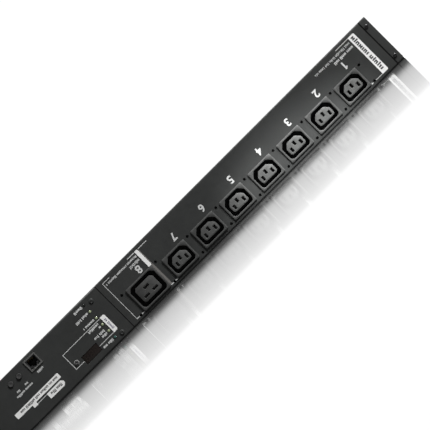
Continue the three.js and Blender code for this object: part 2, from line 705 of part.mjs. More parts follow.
// ---- Display, lamps, buttons ----
const WINDOW_FACE = 0.25;
const displayAt = [fromPlainEnd(DISPLAY), DISPLAY_Z];
const displayWindow = join(
  blockAt(displayAt, WINDOW, [WINDOW_FACE, SHEET + GAP + 0.3]),
  blockAt(displayAt, grown(WINDOW, 1.6), [SHEET + GAP, SHEET + GAP + 0.8]),
);
place("display_window", displayWindow, SMOKED_WINDOW);
place("display_module", blockAt(displayAt, [22.6, 10], [2.8, 12]), MODULE_BLACK);

// A lamp lens: a low dome on a light pipe that reaches back towards the board.
const lamp = turned([
  [0, 12.5],
  [1.4, 12.5],
  [1.4, 2],
  [1.5, 0],
  [1.35, -0.35],
  [0.8, -0.6],
  [0, -0.7],
]);
const LAMP_COLOURS = [LAMP_TEAL, LAMP_GREEN, LAMP_GREEN, LAMP_GREEN, LAMP_GREEN, LAMP_OFF];
lampHeights.forEach((z, index) => {
  place(`led_${index + 1}`, lamp, LAMP_COLOURS[index], lampX, 0, z);
});

// A button: cap through the cover, a collar that stops it behind, and a stem to its switch.
const BUTTON_STEM_END = 9.5;
const SWITCH_FRONT = BUTTON_STEM_END + BUTTON_TRAVEL + GAP;

function buttonCap(radius) {
  const collarFront = SHEET + GAP;
  return turned([
    [0, BUTTON_STEM_END],
    [1.3, BUTTON_STEM_END],
    [1.3, collarFront + 1],
    [radius + 0.9, collarFront + 1],
    [radius + 0.9, collarFront],
    [radius, collarFront],
    [radius, 0.35 - BUTTON_PROUD],
    [radius - 0.35, -BUTTON_PROUD],
    [0, -BUTTON_PROUD],
  ], 18);
}

const tactileSwitch = join(
  blockAt([0, 0], [6, 6], [SWITCH_FRONT + 0.8, BOARD.y[0] - GAP]),
  roundAt([0, 0], 1.7, [SWITCH_FRONT, SWITCH_FRONT + 1]),
);
const switchGeometry = toGeometry(tactileSwitch);
BUTTONS.forEach(({ name, x, z, radius }) => {
  place(`${name}_button`, buttonCap(radius), BUTTON_PLASTIC, x, 0, z);
  place(`${name}_switch`, switchGeometry, MODULE_BLACK, x, 0, z);
});

// ---- Network jack ----
const jackAt = [fromPlainEnd(LAN_JACK), LAN_JACK_Z];
const JACK_FACE = -0.8;
const JACK_SHELL = 0.5;
const JACK_LIP = 1.7; // bright rim round the moulded face
const jackShell = cut(blockAt(jackAt, JACK, [JACK_FACE, BOARD.y[0] - GAP]), [
  blockAt(jackAt, grown(JACK, -JACK_SHELL), [JACK_FACE + JACK_SHELL, BOARD.y[0] + 1]),
  blockAt(jackAt, grown(JACK, -JACK_LIP), [JACK_FACE - 1, JACK_FACE + 1]),
]);
place("lan_jack_shell", jackShell, NICKEL);

// The plug opening: a wide mouth with a stepped notch below it for the plug's latch.
function plugOpening([x, z]) {
  const shape = new THREE.Shape();
  const halves = [5.9, 3.2, 1.7];
  const levels = [z + 4.6, z - 2.4, z - 3.9, z - 5.1];
  shape.moveTo(x - halves[0], levels[0]);
  shape.lineTo(x + halves[0], levels[0]);
  shape.lineTo(x + halves[0], levels[1]);
  shape.lineTo(x + halves[1], levels[1]);
  shape.lineTo(x + halves[1], levels[2]);
  shape.lineTo(x + halves[2], levels[2]);
  shape.lineTo(x + halves[2], levels[3]);
  shape.lineTo(x - halves[2], levels[3]);
  shape.lineTo(x - halves[2], levels[2]);
  shape.lineTo(x - halves[1], levels[2]);
  shape.lineTo(x - halves[1], levels[1]);
  shape.lineTo(x - halves[0], levels[1]);
  return shape;
}

const insertFace = JACK_FACE + JACK_SHELL + GAP;
const PLUG_DEPTH = 12;
const jackInsert = cut(
  blockAt(jackAt, grown(JACK, -JACK_SHELL - GAP), [insertFace, BOARD.y[0] - GAP]),
  [slab(plugOpening(jackAt), [insertFace - 1, insertFace + PLUG_DEPTH])],
);
place("lan_jack_insert", jackInsert, MODULE_BLACK);

// ---- Wires inside the case ----
function wire(points, radius, steps) {
  const path = new THREE.CatmullRomCurve3(points.map((point) => new THREE.Vector3(...point)));
  const section = new THREE.Shape();
  section.absarc(0, 0, radius, 0, 2 * Math.PI, false);
  return new THREE.ExtrudeGeometry(section, { extrudePath: path, steps, curveSegments: 4 });
}

const WIRE_START = PIN_TAIL + 0.6;
const WIRE_LEAD = WIRE_START + 3; // each wire leaves its pin straight
const WIRE_END = BAR_LEFT - 0.6;
const WIRE_RADIUS = 1.7;
const WIRE_STEPS = 36;

const lineWire = [
  [WIRE_START, 26.8, 26.5],
  [WIRE_LEAD, 26.8, 26.5],
  [-276, 26.8, 31],
  [-266, 26.8, 38.5],
  [-250, 26.8, 40],
  [-208, 26.8, 40],
  [-165, 26.8, 40],
  [-150, 23, 33],
  [-135, 22.5, 18],
  [-124, 22.5, 11.5],
  [WIRE_END, 22.5, 11],
];
const neutralWire = [
  [WIRE_START, 26.8, 39.5],
  [WIRE_LEAD, 26.8, 39.5],
  [-276, 28, 44],
  [-264, 30, 49],
  [-250, 31, 50],
  [-205, 32, 50],
  [-160, 33, 50],
  [-147, 36, 44],
  [-135, 36, 30],
  [-125, 30, 18],
  [WIRE_END, 26.5, 16.5],
];
const earthWire = [
  [WIRE_START, 18.6, 33],
  [WIRE_LEAD, 18.6, 33],
  [-276, 20, 32.5],
  [-262, 26, 30],
  [-250, 31, 29.8],
  [-200, 32.5, 29.8],
  [-150, 33, 29.8],
  [-135, 31, 29],
  [-124, 24.5, 28.5],
  [WIRE_END, 22.5, 28.5],
];
place("line_wire", wire(lineWire, WIRE_RADIUS, WIRE_STEPS), WIRE_BROWN);
place("neutral_wire", wire(neutralWire, WIRE_RADIUS, WIRE_STEPS), WIRE_BLUE);
place("earth_wire", wire(earthWire, WIRE_RADIUS, WIRE_STEPS), WIRE_GREEN);

// The earth stud stands on the back wall and is bonded to the inlet's earth pin.
const studTip = 30;
const earthStud = turned([
  [0, supportFoot],
  [4, supportFoot],
  [4, supportFoot - 3.2],
  [2, supportFoot - 3.2],
  [2, studTip],
  [0, studTip],
], 6);
place("earth_stud", earthStud, BRASS, EARTH_STUD[0], 0, EARTH_STUD[1]);

const bondWire = [
  [-288.5, 18.6, 28.6],
  [-288.5, 19, 24],
  [-288.6, 21, 16],
  [-289.6, 26, 10],
  [EARTH_STUD[0], studTip - 0.4, EARTH_STUD[1]],
];
place("earth_bond_wire", wire(bondWire, 1.2, 14), WIRE_GREEN);

// Stand the part on its long edge, with the middle of its footprint at the origin.
strip.position.y = (BEZEL_PROUD - DEPTH) / 2;
export default strip;
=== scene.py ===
"""Looks for a rack power strip: sockets, screws, lamps, buttons, labels and printing on the CAD frame."""
import json
import math
import random

import bmesh
import bpy
from mathutils import Matrix, Vector
from mathutils.geometry import tessellate_polygon


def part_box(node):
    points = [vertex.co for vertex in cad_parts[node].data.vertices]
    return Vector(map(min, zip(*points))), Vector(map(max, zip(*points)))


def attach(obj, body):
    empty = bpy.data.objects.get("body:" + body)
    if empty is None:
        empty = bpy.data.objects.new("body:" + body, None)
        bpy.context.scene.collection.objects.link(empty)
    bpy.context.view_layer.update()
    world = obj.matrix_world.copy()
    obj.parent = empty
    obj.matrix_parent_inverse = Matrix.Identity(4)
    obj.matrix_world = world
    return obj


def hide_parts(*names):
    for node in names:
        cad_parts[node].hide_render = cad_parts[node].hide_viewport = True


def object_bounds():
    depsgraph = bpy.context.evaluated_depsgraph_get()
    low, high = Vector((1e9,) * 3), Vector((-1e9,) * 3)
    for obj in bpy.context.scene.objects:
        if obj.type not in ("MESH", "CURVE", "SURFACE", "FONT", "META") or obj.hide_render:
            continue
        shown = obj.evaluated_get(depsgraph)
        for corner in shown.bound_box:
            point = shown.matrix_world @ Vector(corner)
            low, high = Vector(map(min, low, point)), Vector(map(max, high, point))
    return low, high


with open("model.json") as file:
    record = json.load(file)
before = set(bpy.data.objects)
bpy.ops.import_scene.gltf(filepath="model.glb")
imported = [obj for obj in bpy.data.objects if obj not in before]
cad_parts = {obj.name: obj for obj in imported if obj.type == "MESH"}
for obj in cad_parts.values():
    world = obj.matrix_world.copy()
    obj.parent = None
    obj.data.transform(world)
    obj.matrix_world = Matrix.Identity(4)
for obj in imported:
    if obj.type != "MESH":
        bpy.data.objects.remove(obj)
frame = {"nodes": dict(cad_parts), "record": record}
cad_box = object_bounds()

MM = 0.001
CASE = "case"  # the body that everything but the buttons rides on
NODES = frame["nodes"]
SLOTS = {row["node"]: row["material_slot"] for row in frame["record"]["subparts"]}
PLAIN_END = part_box("end_cap_plain")[1].x
END_MM = PLAIN_END / MM
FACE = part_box("outlet_cover")[0].y  # outer face of the covers
FACE_MM = FACE / MM
HEIGHT_MM = cad_box[1].z / MM
SHARP = math.radians(35)  # faces that turn by more than this meet in an edge


def centre_of(node):
    """x and z of the middle of a CAD node, in millimetres."""
    low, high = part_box(node)
    centre = (low + high) / 2
    return centre.x / MM, centre.z / MM


# ---------------------------------------------------------------- camera
# It looks straight at the socket face, and is rolled so that the strip climbs to the upper right.
VIEW_CENTRE = Vector((PLAIN_END - 280.2 * MM, FACE, 26.0 * MM))
VIEW_WIDTH = 491 * MM
LENS = 300.0
SENSOR = 36.0
CLIP_END = 50


def make_camera():
    data = bpy.data.cameras.new("camera")
    data.lens = LENS
    data.sensor_width = SENSOR
    data.clip_end = CLIP_END
    camera = bpy.data.objects.new("camera", data)
    bpy.context.scene.collection.objects.link(camera)
    right = Vector((1, 0, -1)).normalized()
    up = Vector((1, 0, 1)).normalized()
    back = Vector((0, -1, 0))
    turn = Matrix((right, up, back)).transposed().to_4x4()
    distance = VIEW_WIDTH * LENS / SENSOR
    camera.matrix_world = Matrix.Translation(VIEW_CENTRE + back * distance) @ turn
    bpy.context.scene.camera = camera


make_camera()


# ---------------------------------------------------------------- materials
class Surface:
    """A principled material, with short calls that wire procedural detail into it."""

    def __init__(self, name, metallic=0.0, **sockets):
        """Sockets are the shader's own numbers, with _ for the spaces in their names."""
        self.material = bpy.data.materials.new(name)
        self.material.use_nodes = True
        self.tree = self.material.node_tree
        self.shader = self.tree.nodes["Principled BSDF"]
        self.shader.inputs["Metallic"].default_value = metallic
        for socket, value in sockets.items():
            self.shader.inputs[socket.replace("_", " ")].default_value = value
        self.place = self.node("ShaderNodeTexCoord").outputs["Object"]

    def node(self, kind, **settings):
        node = self.tree.nodes.new(kind)
        for key, value in settings.items():
            setattr(node, key, value)
        return node

    def link(self, source, target):
        self.tree.links.new(source, target)

    def noise(self, size, detail=2.0, stretch=(1, 1, 1)):
        """Noise whose features are about size millimetres across."""
        mapping = self.node("ShaderNodeMapping")
        mapping.inputs["Scale"].default_value = stretch
        self.link(self.place, mapping.inputs["Vector"])
        noise = self.node("ShaderNodeTexNoise")
        noise.inputs["Scale"].default_value = 1 / (size * MM)
        noise.inputs["Detail"].default_value = detail
        self.link(mapping.outputs[0], noise.inputs["Vector"])
        return noise.outputs["Fac"]

    def spread(self, value, low, high, start=0.3, end=0.7):
        """The value between start and end, spread from low to high."""
        spread = self.node("ShaderNodeMapRange")
        numbers = {"From Min": start, "From Max": end, "To Min": low, "To Max": high}
        for socket, number in numbers.items():
            spread.inputs[socket].default_value = number
        self.link(value, spread.inputs["Value"])
        return spread.outputs[0]

    def mix(self, factor, first, second):
        mix = self.node("ShaderNodeMix", data_type="RGBA")
        self.link(factor, mix.inputs[0])
        for socket, value in ((mix.inputs[6], first), (mix.inputs[7], second)):
            if isinstance(value, bpy.types.NodeSocket):
                self.link(value, socket)
            else:
                socket.default_value = (*value, 1)
        return mix.outputs[2]

    def axis(self, name):
        """The X, Y or Z of a place, in metres."""
        parts = self.node("ShaderNodeSeparateXYZ")
        self.link(self.place, parts.inputs[0])
        return parts.outputs[name]

    def times(self, first, second):
        product = self.node("ShaderNodeMath", operation="MULTIPLY")
        self.link(first, product.inputs[0])
        self.link(second, product.inputs[1])
        return product.outputs[0]

    def edges(self, radius, start, end):
        """1 on sharp outer edges and 0 on flat faces."""
        bevel = self.node("ShaderNodeBevel", samples=4)
        bevel.inputs["Radius"].default_value = radius * MM
        true_normal = self.node("ShaderNodeNewGeometry").outputs["Normal"]
        dot = self.node("ShaderNodeVectorMath", operation="DOT_PRODUCT")
        self.link(bevel.outputs[0], dot.inputs[0])
        self.link(true_normal, dot.inputs[1])
        return self.spread(dot.outputs["Value"], 1.0, 0.0, start, end)

    def color(self, socket):
        self.link(socket, self.shader.inputs["Base Color"])

    def roughness(self, socket):
        self.link(socket, self.shader.inputs["Roughness"])

    def bump(self, *layers):
        """Each layer is a height socket and its depth in millimetres; they stack in order."""
        normal = None
        for height, depth in layers:
            bump = self.node("ShaderNodeBump")
            bump.inputs["Distance"].default_value = depth * MM
            self.link(height, bump.inputs["Height"])
            if normal:
                self.link(normal, bump.inputs["Normal"])
            normal = bump.outputs[0]
        self.link(normal, self.shader.inputs["Normal"])


def scaled(color, factor):
    return tuple(channel * factor for channel in color)


def powder_coat(name, color):
    """Black powder coat: a fine orange-peel grain, faint mottling, and paint worn thin along the edges."""
    s = Surface(name, Specular_IOR_Level=0.4)
    grain = s.noise(0.45, 3)
    peel = s.noise(1.6, 2)
    mottle = s.mix(s.spread(s.noise(38, 3), 0, 1), scaled(color, 0.9), scaled(color, 1.12))
    speckled = s.mix(s.spread(grain, 0, 0.3, 0.55, 0.75), mottle, scaled(color, 1.9))
    worn = s.times(s.edges(0.5, 0.72, 0.97), s.spread(s.noise(3.0, 4), 0, 0.55, 0.42, 0.66))
    s.color(s.mix(worn, speckled, scaled(color, 3.2)))
    s.roughness(s.spread(s.noise(7, 3), 0.48, 0.6))
    s.bump((peel, 0.02), (grain, 0.03))
    return s.material


FRAME_EDGE = (-1.4, -1.15)  # depths from the cover's face: a socket's frame in front, its core behind
PAINTED_SHADE_DEPTHS = (0.1, 3.5)  # between these depths the hollows of a socket are painted dark, as shade
# How dark the painted shade in a socket's hollows gets, as a share of its colour.
PAINTED_SHADE_LEVEL = 0.15


def moulded(name, color, gloss=0.42, grain_depth=0.012, rub_and_highlight=0.35, painted_frame_shade=None, shine=0.5):
    """Moulded plastic: spark-eroded grain, faint flow marks, and edges lighter partly from rubbing and
    partly as a painted highlight.

    A socket gets painted shade: its frame is darker than its core by the frame shade factor, and its hollows
    are dark.
    """
    s = Surface(name, Specular_IOR_Level=shine)
    grain = s.noise(0.22, 2)
    flow = s.noise(9, 3, (1, 1, 0.35))
    body = s.mix(s.spread(flow, 0, 1), scaled(color, 0.92), scaled(color, 1.1))
    # Painted shade on a socket: its frame is darker than its core.
    if painted_frame_shade:
        depth = s.axis("Y")
        behind = s.spread(depth, 0, 1, *(FACE + level * MM for level in FRAME_EDGE))
        body = s.mix(behind, scaled(color, painted_frame_shade), body)
        # Painted shade in a socket's hollows: darker with depth.
        painted_shade = s.spread(depth, 0, 1, *(FACE + level * MM for level in PAINTED_SHADE_DEPTHS))
        body = s.mix(painted_shade, body, scaled(color, PAINTED_SHADE_LEVEL))
    # Lighter edges: partly worn by rubbing, partly a painted highlight.
    rubbed_and_highlit = s.times(s.edges(0.35, 0.75, 0.98), s.spread(s.noise(2.2, 3), 0, rub_and_highlight, 0.4, 0.65))
    s.color(s.mix(rubbed_and_highlit, body, scaled(color, 1.8)))
    s.roughness(s.spread(s.noise(4, 3), gloss, gloss + 0.14))
    s.bump((grain, grain_depth))
    return s.material


def plated(name, color, rough=0.16):
    """Plated or bare metal: fine drawn scratches, a soft stain and an uneven sheen."""
    s = Surface(name, metallic=1.0)
    scratch = s.noise(0.12, 3, (0.06, 1, 1))
    stain = s.noise(6, 4)
    s.color(s.mix(s.spread(stain, 0, 1), scaled(color, 0.82), color))
    s.roughness(s.spread(s.noise(1.3, 4), rough, rough + 0.18))
    s.bump((scratch, 0.003), (stain, 0.01))
    return s.material


def ink(name, color):
    """Screen print: a thin matt film, a little uneven in density."""
    s = Surface(name, Specular_IOR_Level=0.3)
    thin = s.spread(s.noise(0.5, 3), 0, 0.35, 0.55, 0.75)
    s.color(s.mix(thin, color, scaled(color, 0.82)))
    s.roughness(s.spread(s.noise(2, 2), 0.5, 0.62))
    s.bump((s.noise(0.4, 2), 0.008))
    return s.material


def label_stock(name, color):
    """Label film: smooth and slightly glossy, with a faint waviness from its adhesive."""
    s = Surface(name, Specular_IOR_Level=0.5)
    s.color(s.mix(s.spread(s.noise(12, 3), 0, 1), scaled(color, 0.95), color))
    s.roughness(s.spread(s.noise(5, 3), 0.32, 0.44))
    s.bump((s.noise(4, 2), 0.03), (s.noise(0.3, 2), 0.003))
    return s.material


def clear_lens(name, color, glow=0.0):
    """A moulded lens. Lit ones glow from inside, a little unevenly."""
    s = Surface(name, Specular_IOR_Level=0.6, Coat_Weight=0.5, Coat_Roughness=0.08)
    cloud = s.spread(s.noise(1.1, 2), 0, 1)
    s.color(s.mix(cloud, scaled(color, 0.75), color))
    s.roughness(s.spread(s.noise(1.5, 2), 0.14, 0.24))
    s.bump((s.noise(0.6, 2), 0.006))
    if glow:
        s.link(s.mix(cloud, scaled(color, 0.8), color), s.shader.inputs["Emission Color"])
        s.shader.inputs["Emission Strength"].default_value = glow
    return s.material


def smoked(name, color):
    """Smoked plastic, for the display's window and unlit figures: dark and polished."""
    s = Surface(name, Specular_IOR_Level=0.45)
    s.color(s.mix(s.spread(s.noise(8, 2), 0, 1), scaled(color, 0.85), color))
    s.roughness(s.spread(s.noise(3, 4), 0.1, 0.17))
    s.bump((s.noise(14, 1), 0.02))
    return s.material


def circuit_board(name, color):
    """Solder mask over copper tracks."""
    s = Surface(name, Coat_Weight=0.4, Coat_Roughness=0.2)
    tracks = s.noise(1.4, 0, (1, 1, 0.2))
    s.color(s.mix(s.spread(tracks, 0, 1, 0.48, 0.52), color, scaled(color, 1.7)))
    s.roughness(s.spread(s.noise(6, 2), 0.32, 0.42))
    s.bump((tracks, 0.03))
    return s.material


MATERIALS = {
    "cover_paint": powder_coat("cover_paint", (0.0225, 0.0236, 0.0229)),
    "channel_paint": powder_coat("channel_paint", (0.0190, 0.0200, 0.0195)),
    "cap_paint": powder_coat("cap_paint", (0.0215, 0.0225, 0.0220)),
    "socket_plastic": moulded("socket_plastic", (0.061, 0.0622, 0.0606), painted_frame_shade=0.72),
    "large_socket_plastic": moulded("large_socket_plastic", (0.043, 0.0435, 0.0425), painted_frame_shade=1.0),
    "inlet_plastic": moulded("inlet_plastic", (0.02, 0.02, 0.02)),
    "button_plastic": moulded("button_plastic", (0.04, 0.04, 0.04)),
    "tray_plastic": moulded("tray_plastic", (0.15, 0.16, 0.17)),
    "sheet_plastic": moulded("sheet_plastic", (0.72, 0.70, 0.62)),
    "module_black": moulded("module_black", (0.012, 0.012, 0.013)),
    "collar_grey": moulded("collar_grey", (0.34, 0.34, 0.335), gloss=0.3),
    # Also the black of the seam strips, which are painted shade.
    "seal_rubber": moulded("seal_rubber", (0.003, 0.003, 0.003), 0.65, 0.02, rub_and_highlight=0.1, shine=0.05),
    "nylon": moulded("nylon", (0.78, 0.76, 0.70)),
    "wire_brown": moulded("wire_brown", (0.16, 0.06, 0.02), gloss=0.3),
    "wire_blue": moulded("wire_blue", (0.03, 0.12, 0.40), gloss=0.3),
    "wire_green": moulded("wire_green", (0.10, 0.40, 0.05), gloss=0.3),
    "nickel": plated("nickel", (0.74, 0.74, 0.72)),
    "screw_black": plated("screw_black", (0.09, 0.09, 0.092), rough=0.3),
    "screw_paint": powder_coat("screw_paint", (0.021, 0.022, 0.0215)),
    "tinned_copper": plated("tinned_copper", (0.27, 0.27, 0.26), rough=0.3),
    "brass": plated("brass", (0.72, 0.56, 0.26), rough=0.22),
    "gold_contact": plated("gold_contact", (0.85, 0.62, 0.25), rough=0.18),
    "board_green": circuit_board("board_green", (0.02, 0.10, 0.04)),
    "smoked_window": smoked("smoked_window", (0.0125, 0.0095, 0.0083)),
    "lamp_green": clear_lens("lamp_green", (0.22, 0.25, 0.155), glow=0.45),
    "lamp_teal": clear_lens("lamp_teal", (0.035, 0.09, 0.08), glow=0.25),
    "lamp_off": clear_lens("lamp_off", (0.010, 0.012, 0.010)),
    "print_white": ink("print_white", (0.53, 0.535, 0.53)),
    # A flat grey, for the band below the large socket's label and for painted shade along that label's edge.
    "grey_band_and_edge_shade": ink("grey_band_and_edge_shade", (0.15, 0.143, 0.136)),
    "print_violet": ink("print_violet", (0.15, 0.14, 0.21)),
    "print_dark": ink("print_dark", (0.05, 0.05, 0.052)),
    "label": label_stock("label", (0.80, 0.80, 0.79)),
    "segment": smoked("segment", (0.021, 0.0155, 0.0135)),
}


# ---------------------------------------------------------------- CAD nodes that stay
def dress(node, material, bevel):
    """Gives a CAD node its material, and rounds its edges without touching its mesh."""
    obj = NODES[node]
    obj.data.materials.clear()
    obj.data.materials.append(material)
    weld = obj.modifiers.new("weld", "WELD")
    weld.merge_threshold = 0.002 * MM
    if bevel:
        flatten = obj.modifiers.new("flatten", "DECIMATE")
        flatten.decimate_type = "DISSOLVE"
        flatten.angle_limit = math.radians(0.5)
        edge = obj.modifiers.new("edge", "BEVEL")
        edge.width = bevel * MM
        edge.segments = 2
        edge.limit_method = "ANGLE"
        edge.angle_limit = SHARP
        edge.harden_normals = True


BEVELS = {  # widths in millimetres
    "outlet_cover": 0.18,
    "control_cover": 0.18,
    "rear_channel": 0.18,
    "end_cap_plain": 0.35,
    "end_cap_inlet": 0.35,
    "inlet_body": 0.3,
    "inlet_pin_line": 0.25,
    "inlet_pin_neutral": 0.25,
    "inlet_pin_earth": 0.25,
    "lan_jack_shell": 0.15,
    "lan_jack_insert": 0.15,
}
for node_name, slot_name in SLOTS.items():
    dress(node_name, MATERIALS[slot_name], BEVELS.get(node_name, 0.0))


# ---------------------------------------------------------------- building meshes
def outline(width, height, sizes, bulges=(1, 1, 1, 1), steps=5):
    """A rectangle with its own corners, anticlockwise from the lower right, as [x, z] in millimetres.

    A corner's bulge is 1 where it is round and 0 where it is cut straight.
    """
    points = []
    signs = ((1, -1), (1, 1), (-1, 1), (-1, -1))
    for index, (side, level) in enumerate(signs):
        size = sizes[index]
        start = math.radians(90 * index - 90)
        ends = [Vector((math.cos(a), math.sin(a))) for a in (start, start + math.pi / 2)]
        middle = Vector((side * (width / 2 - size), level * (height / 2 - size)))
        for step in range(steps + 1):
            part = step / steps
            angle = start + part * math.pi / 2
            arc = Vector((math.cos(angle), math.sin(angle)))
            point = ends[0].lerp(ends[1], part).lerp(arc, bulges[index])
            points.append(middle + point * size)
    return points


def circle(radius, steps=32):
    turn = 2 * math.pi / steps
    return [Vector((radius * math.cos(turn * k), radius * math.sin(turn * k))) for k in range(steps)]


class Build:
    """A mesh made of loops that lie across the y axis, all in millimetres until it is finished."""

    def __init__(self):
        self.bm = bmesh.new()

    def loop(self, points, y, at=(0, 0)):
        return [self.bm.verts.new((p.x + at[0], y, p.y + at[1])) for p in points]

    def bridge(self, loops):
        for first, second in zip(loops, loops[1:]):
            count = len(first)
            for k in range(count):
                after = (k + 1) % count
                self.bm.faces.new((first[k], first[after], second[after], second[k]))

    def fill(self, outer, holes=()):
        """A flat face inside one loop, with other loops left open in it."""
        loops = [outer, *holes]
        corners = [vert for loop in loops for vert in loop]
        flat = [[Vector((vert.co.x, vert.co.z, 0)) for vert in loop] for loop in loops]
        for triangle in tessellate_polygon(flat):
            self.bm.faces.new([corners[index] for index in triangle])

    def stack(self, layers, at=(0, 0), closed=True):
        """Loops one behind another, from (points, y) pairs, with flat ends where closed."""
        loops = [self.loop(points, y, at) for points, y in layers]
        self.bridge(loops)
        if closed:
            self.fill(loops[0])
            self.fill(loops[-1])
        return loops

    def turned(self, profile, at=(0, 0), steps=40):
        """A round piece from (radius, y) pairs, with flat ends."""
        return self.stack([(circle(radius, steps), y) for radius, y in profile], at)

    def tile(self, x_range, z_range, y_range, sizes=(0.05,) * 4, bulges=(1, 1, 1, 1), steps=3):
        """A flat plate that stands between two y values."""
        width = x_range[1] - x_range[0]
        height = z_range[1] - z_range[0]
        points = outline(width, height, sizes, bulges, steps)
        middle = (sum(x_range) / 2, sum(z_range) / 2)
        self.stack([(points, y_range[0]), (points, y_range[1])], middle)


def layers_at(layers):
    """Depths counted from the cover's face, as y in the frame."""
    return [(points, FACE_MM + depth) for points, depth in layers]


def as_object(name, bm):
    mesh = bpy.data.meshes.new(name)
    bm.to_mesh(mesh)
    bm.free()
    obj = bpy.data.objects.new(name, mesh)
    bpy.context.scene.collection.objects.link(obj)
    return obj


def applied(obj):
    """The object's mesh with its modifiers applied."""
    graph = bpy.context.evaluated_depsgraph_get()
    return bpy.data.meshes.new_from_object(obj.evaluated_get(graph))


def add_piece(name, bm, material, body=CASE):
    """Turns a mesh in millimetres into an object that rides on a body."""
    bmesh.ops.scale(bm, vec=(MM, MM, MM), verts=bm.verts)
    bmesh.ops.recalc_face_normals(bm, faces=bm.faces)
    obj = as_object(name, bm)
    obj.data.shade_smooth()
    obj.data.set_sharp_from_angle(angle=SHARP)
    obj.data.materials.append(MATERIALS[material])
    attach(obj, body)
    return obj


# ---------------------------------------------------------------- sockets
# Sizes are width and height and, for a ring or a core, its upper and lower corners too. Slots are places
# from the socket's middle. So are holes lengthwise, but their heights are from the strip's lower edge.
C13 = {
    "bezel": (35.0, 27.7),
    "body": (32.2, 24.9),
    "ring": (30.4, 23.1, 6.2, 4.0),
    "core": (22.8, 15.0, 5.6, 2.6),
    "slot": (3.0, 5.4),
    "chamber": (4.0, 6.2),
    "slots": ((7.0, -2.5), (-7.0, -2.5), (0.0, 1.5)),
    "holes": ((23.1, 5.7), (23.1, 31.2)),
}
C19 = {
    "bezel": (42.0, 33.0),
    "body": (39.4, 30.3),
    "ring": (37.4, 28.6, 4.6, 4.6),
    "core": (27.6, 20.0, 3.0, 3.0),
    "slot": (7.2, 2.8),
    "chamber": (8.0, 3.8),
    "slots": ((6.5, -4.8), (-6.5, -4.8), (0.0, 3.4)),
    "holes": ((27.2, 4.6), (-27.2, 4.6), (27.2, 36.3), (-27.2, 36.3)),
}
# Depths from the cover's face, negative in front of it. The bezel rests on the cover, which the body
# passes through.
BEZEL_FRONT = -1.5
BEZEL_BACK = -0.08
CORE_FRONT = -1.0
SLOT_MOUTH = 3.0  # behind this a slot widens into its contact's chamber
RING_FLOOR = 17.0
SOCKET_BACK = 20.0
BEZEL_CORNER = 1.3
BODY_CORNER = 1.0


def rounded(size, inset, corner):
    """A rectangle with round corners, drawn in by an inset."""
    width, height = size
    return outline(width - 2 * inset, height - 2 * inset, (max(corner - inset, 0.15),) * 4)


def cornered(size, grow):
    """The shape of a core and its ring, with cut corners above and round ones below, drawn out by grow."""
    width, height, upper, lower = size
    upper += grow * 0.4
    lower += grow * 0.4
    corners = (lower, upper, upper, lower)
    return outline(width + 2 * grow, height + 2 * grow, corners, (0.85, 0.12, 0.12, 0.85))


def slotted(size, grow):
    """The shape of a slot, drawn out by grow."""
    width, height = size
    return outline(width + 2 * grow, height + 2 * grow, (0.35,) * 4, steps=2)


def socket_piece(name, kind):
    """One moulded socket: a softly rounded bezel, the deep ring, and the core with its three slots."""
    at = centre_of(name)
    build = Build()
    bezel, body, ring, core = kind["bezel"], kind["body"], kind["ring"], kind["core"]
    layers = [
        (rounded(body, 0, BODY_CORNER), SOCKET_BACK),
        (rounded(body, 0, BODY_CORNER), BEZEL_BACK),
        (rounded(bezel, 0, BEZEL_CORNER), BEZEL_BACK),
        (rounded(bezel, 0, BEZEL_CORNER), BEZEL_FRONT + 0.55),
        (rounded(bezel, 0.12, BEZEL_CORNER), BEZEL_FRONT + 0.2),
        (rounded(bezel, 0.45, BEZEL_CORNER), BEZEL_FRONT),
        (cornered(ring, 0.35), BEZEL_FRONT),
        (cornered(ring, 0.1), BEZEL_FRONT + 0.12),
        (cornered(ring, 0.0), BEZEL_FRONT + 0.45),
        (cornered(ring, -0.15), RING_FLOOR),
        (cornered(core, 0.2), RING_FLOOR),
        (cornered(core, 0.0), CORE_FRONT + 0.5),
        (cornered(core, -0.12), CORE_FRONT + 0.14),
        (cornered(core, -0.45), CORE_FRONT),
    ]
    slot_layers = [
        (slotted(kind["slot"], 0.3), CORE_FRONT),
        (slotted(kind["slot"], 0.0), CORE_FRONT + 0.45),
        (slotted(kind["slot"], 0.0), SLOT_MOUTH),
        (slotted(kind["chamber"], 0.0), SLOT_MOUTH),
        (slotted(kind["chamber"], 0.0), SOCKET_BACK),
    ]
    loops = build.stack(layers_at(layers), at, closed=False)
    mouths, backs = [], []
    for x, z in kind["slots"]:
        walls = build.stack(layers_at(slot_layers), (at[0] + x, at[1] + z), closed=False)
        mouths.append(walls[0])
        backs.append(walls[-1])
    build.fill(loops[-1], mouths)
    build.fill(loops[0], backs)
    piece = add_piece(name + "_socket", build.bm, SLOTS[name])
    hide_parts(name)


def hole_cups(kinds):
    """Blind black cups behind the small round holes that flank the sockets, standing in for the shade inside
    them.
    """
    build = Build()
    profile = [(0.05, 4.2), (1.6, 4.2), (1.78, 1.25), (2.3, 1.25), (2.3, 4.9), (0.05, 4.9)]
    for name, kind in kinds.items():
        for x, z in kind["holes"]:
            build.turned(layers_at(profile), (centre_of(name)[0] + x, z), 20)
    add_piece("hole_cups", build.bm, "module_black")


OUTLETS = {f"outlet_{number}": C19 if number == 8 else C13 for number in range(1, 9)}
for outlet_name, outlet_kind in OUTLETS.items():
    socket_piece(outlet_name, outlet_kind)
hole_cups(OUTLETS)


# ---------------------------------------------------------------- screws
def pan_head(head_radius, head_height, shank_radius, shank_length):
    """A pan-head screw's outline as (radius, y), from the tip of the shank to the middle of the head."""
    return [
        (shank_radius - 0.4, shank_length),
        (shank_radius, shank_length - 0.5),
        (shank_radius, 0.0),
        (head_radius - 0.08, 0.0),
        (head_radius, -0.08),
        (head_radius * 0.985, -head_height * 0.42),
        (head_radius * 0.93, -head_height * 0.64),
        (head_radius * 0.82, -head_height * 0.83),
        (head_radius * 0.62, -head_height * 0.95),
        (head_radius * 0.3, -head_height),
    ]


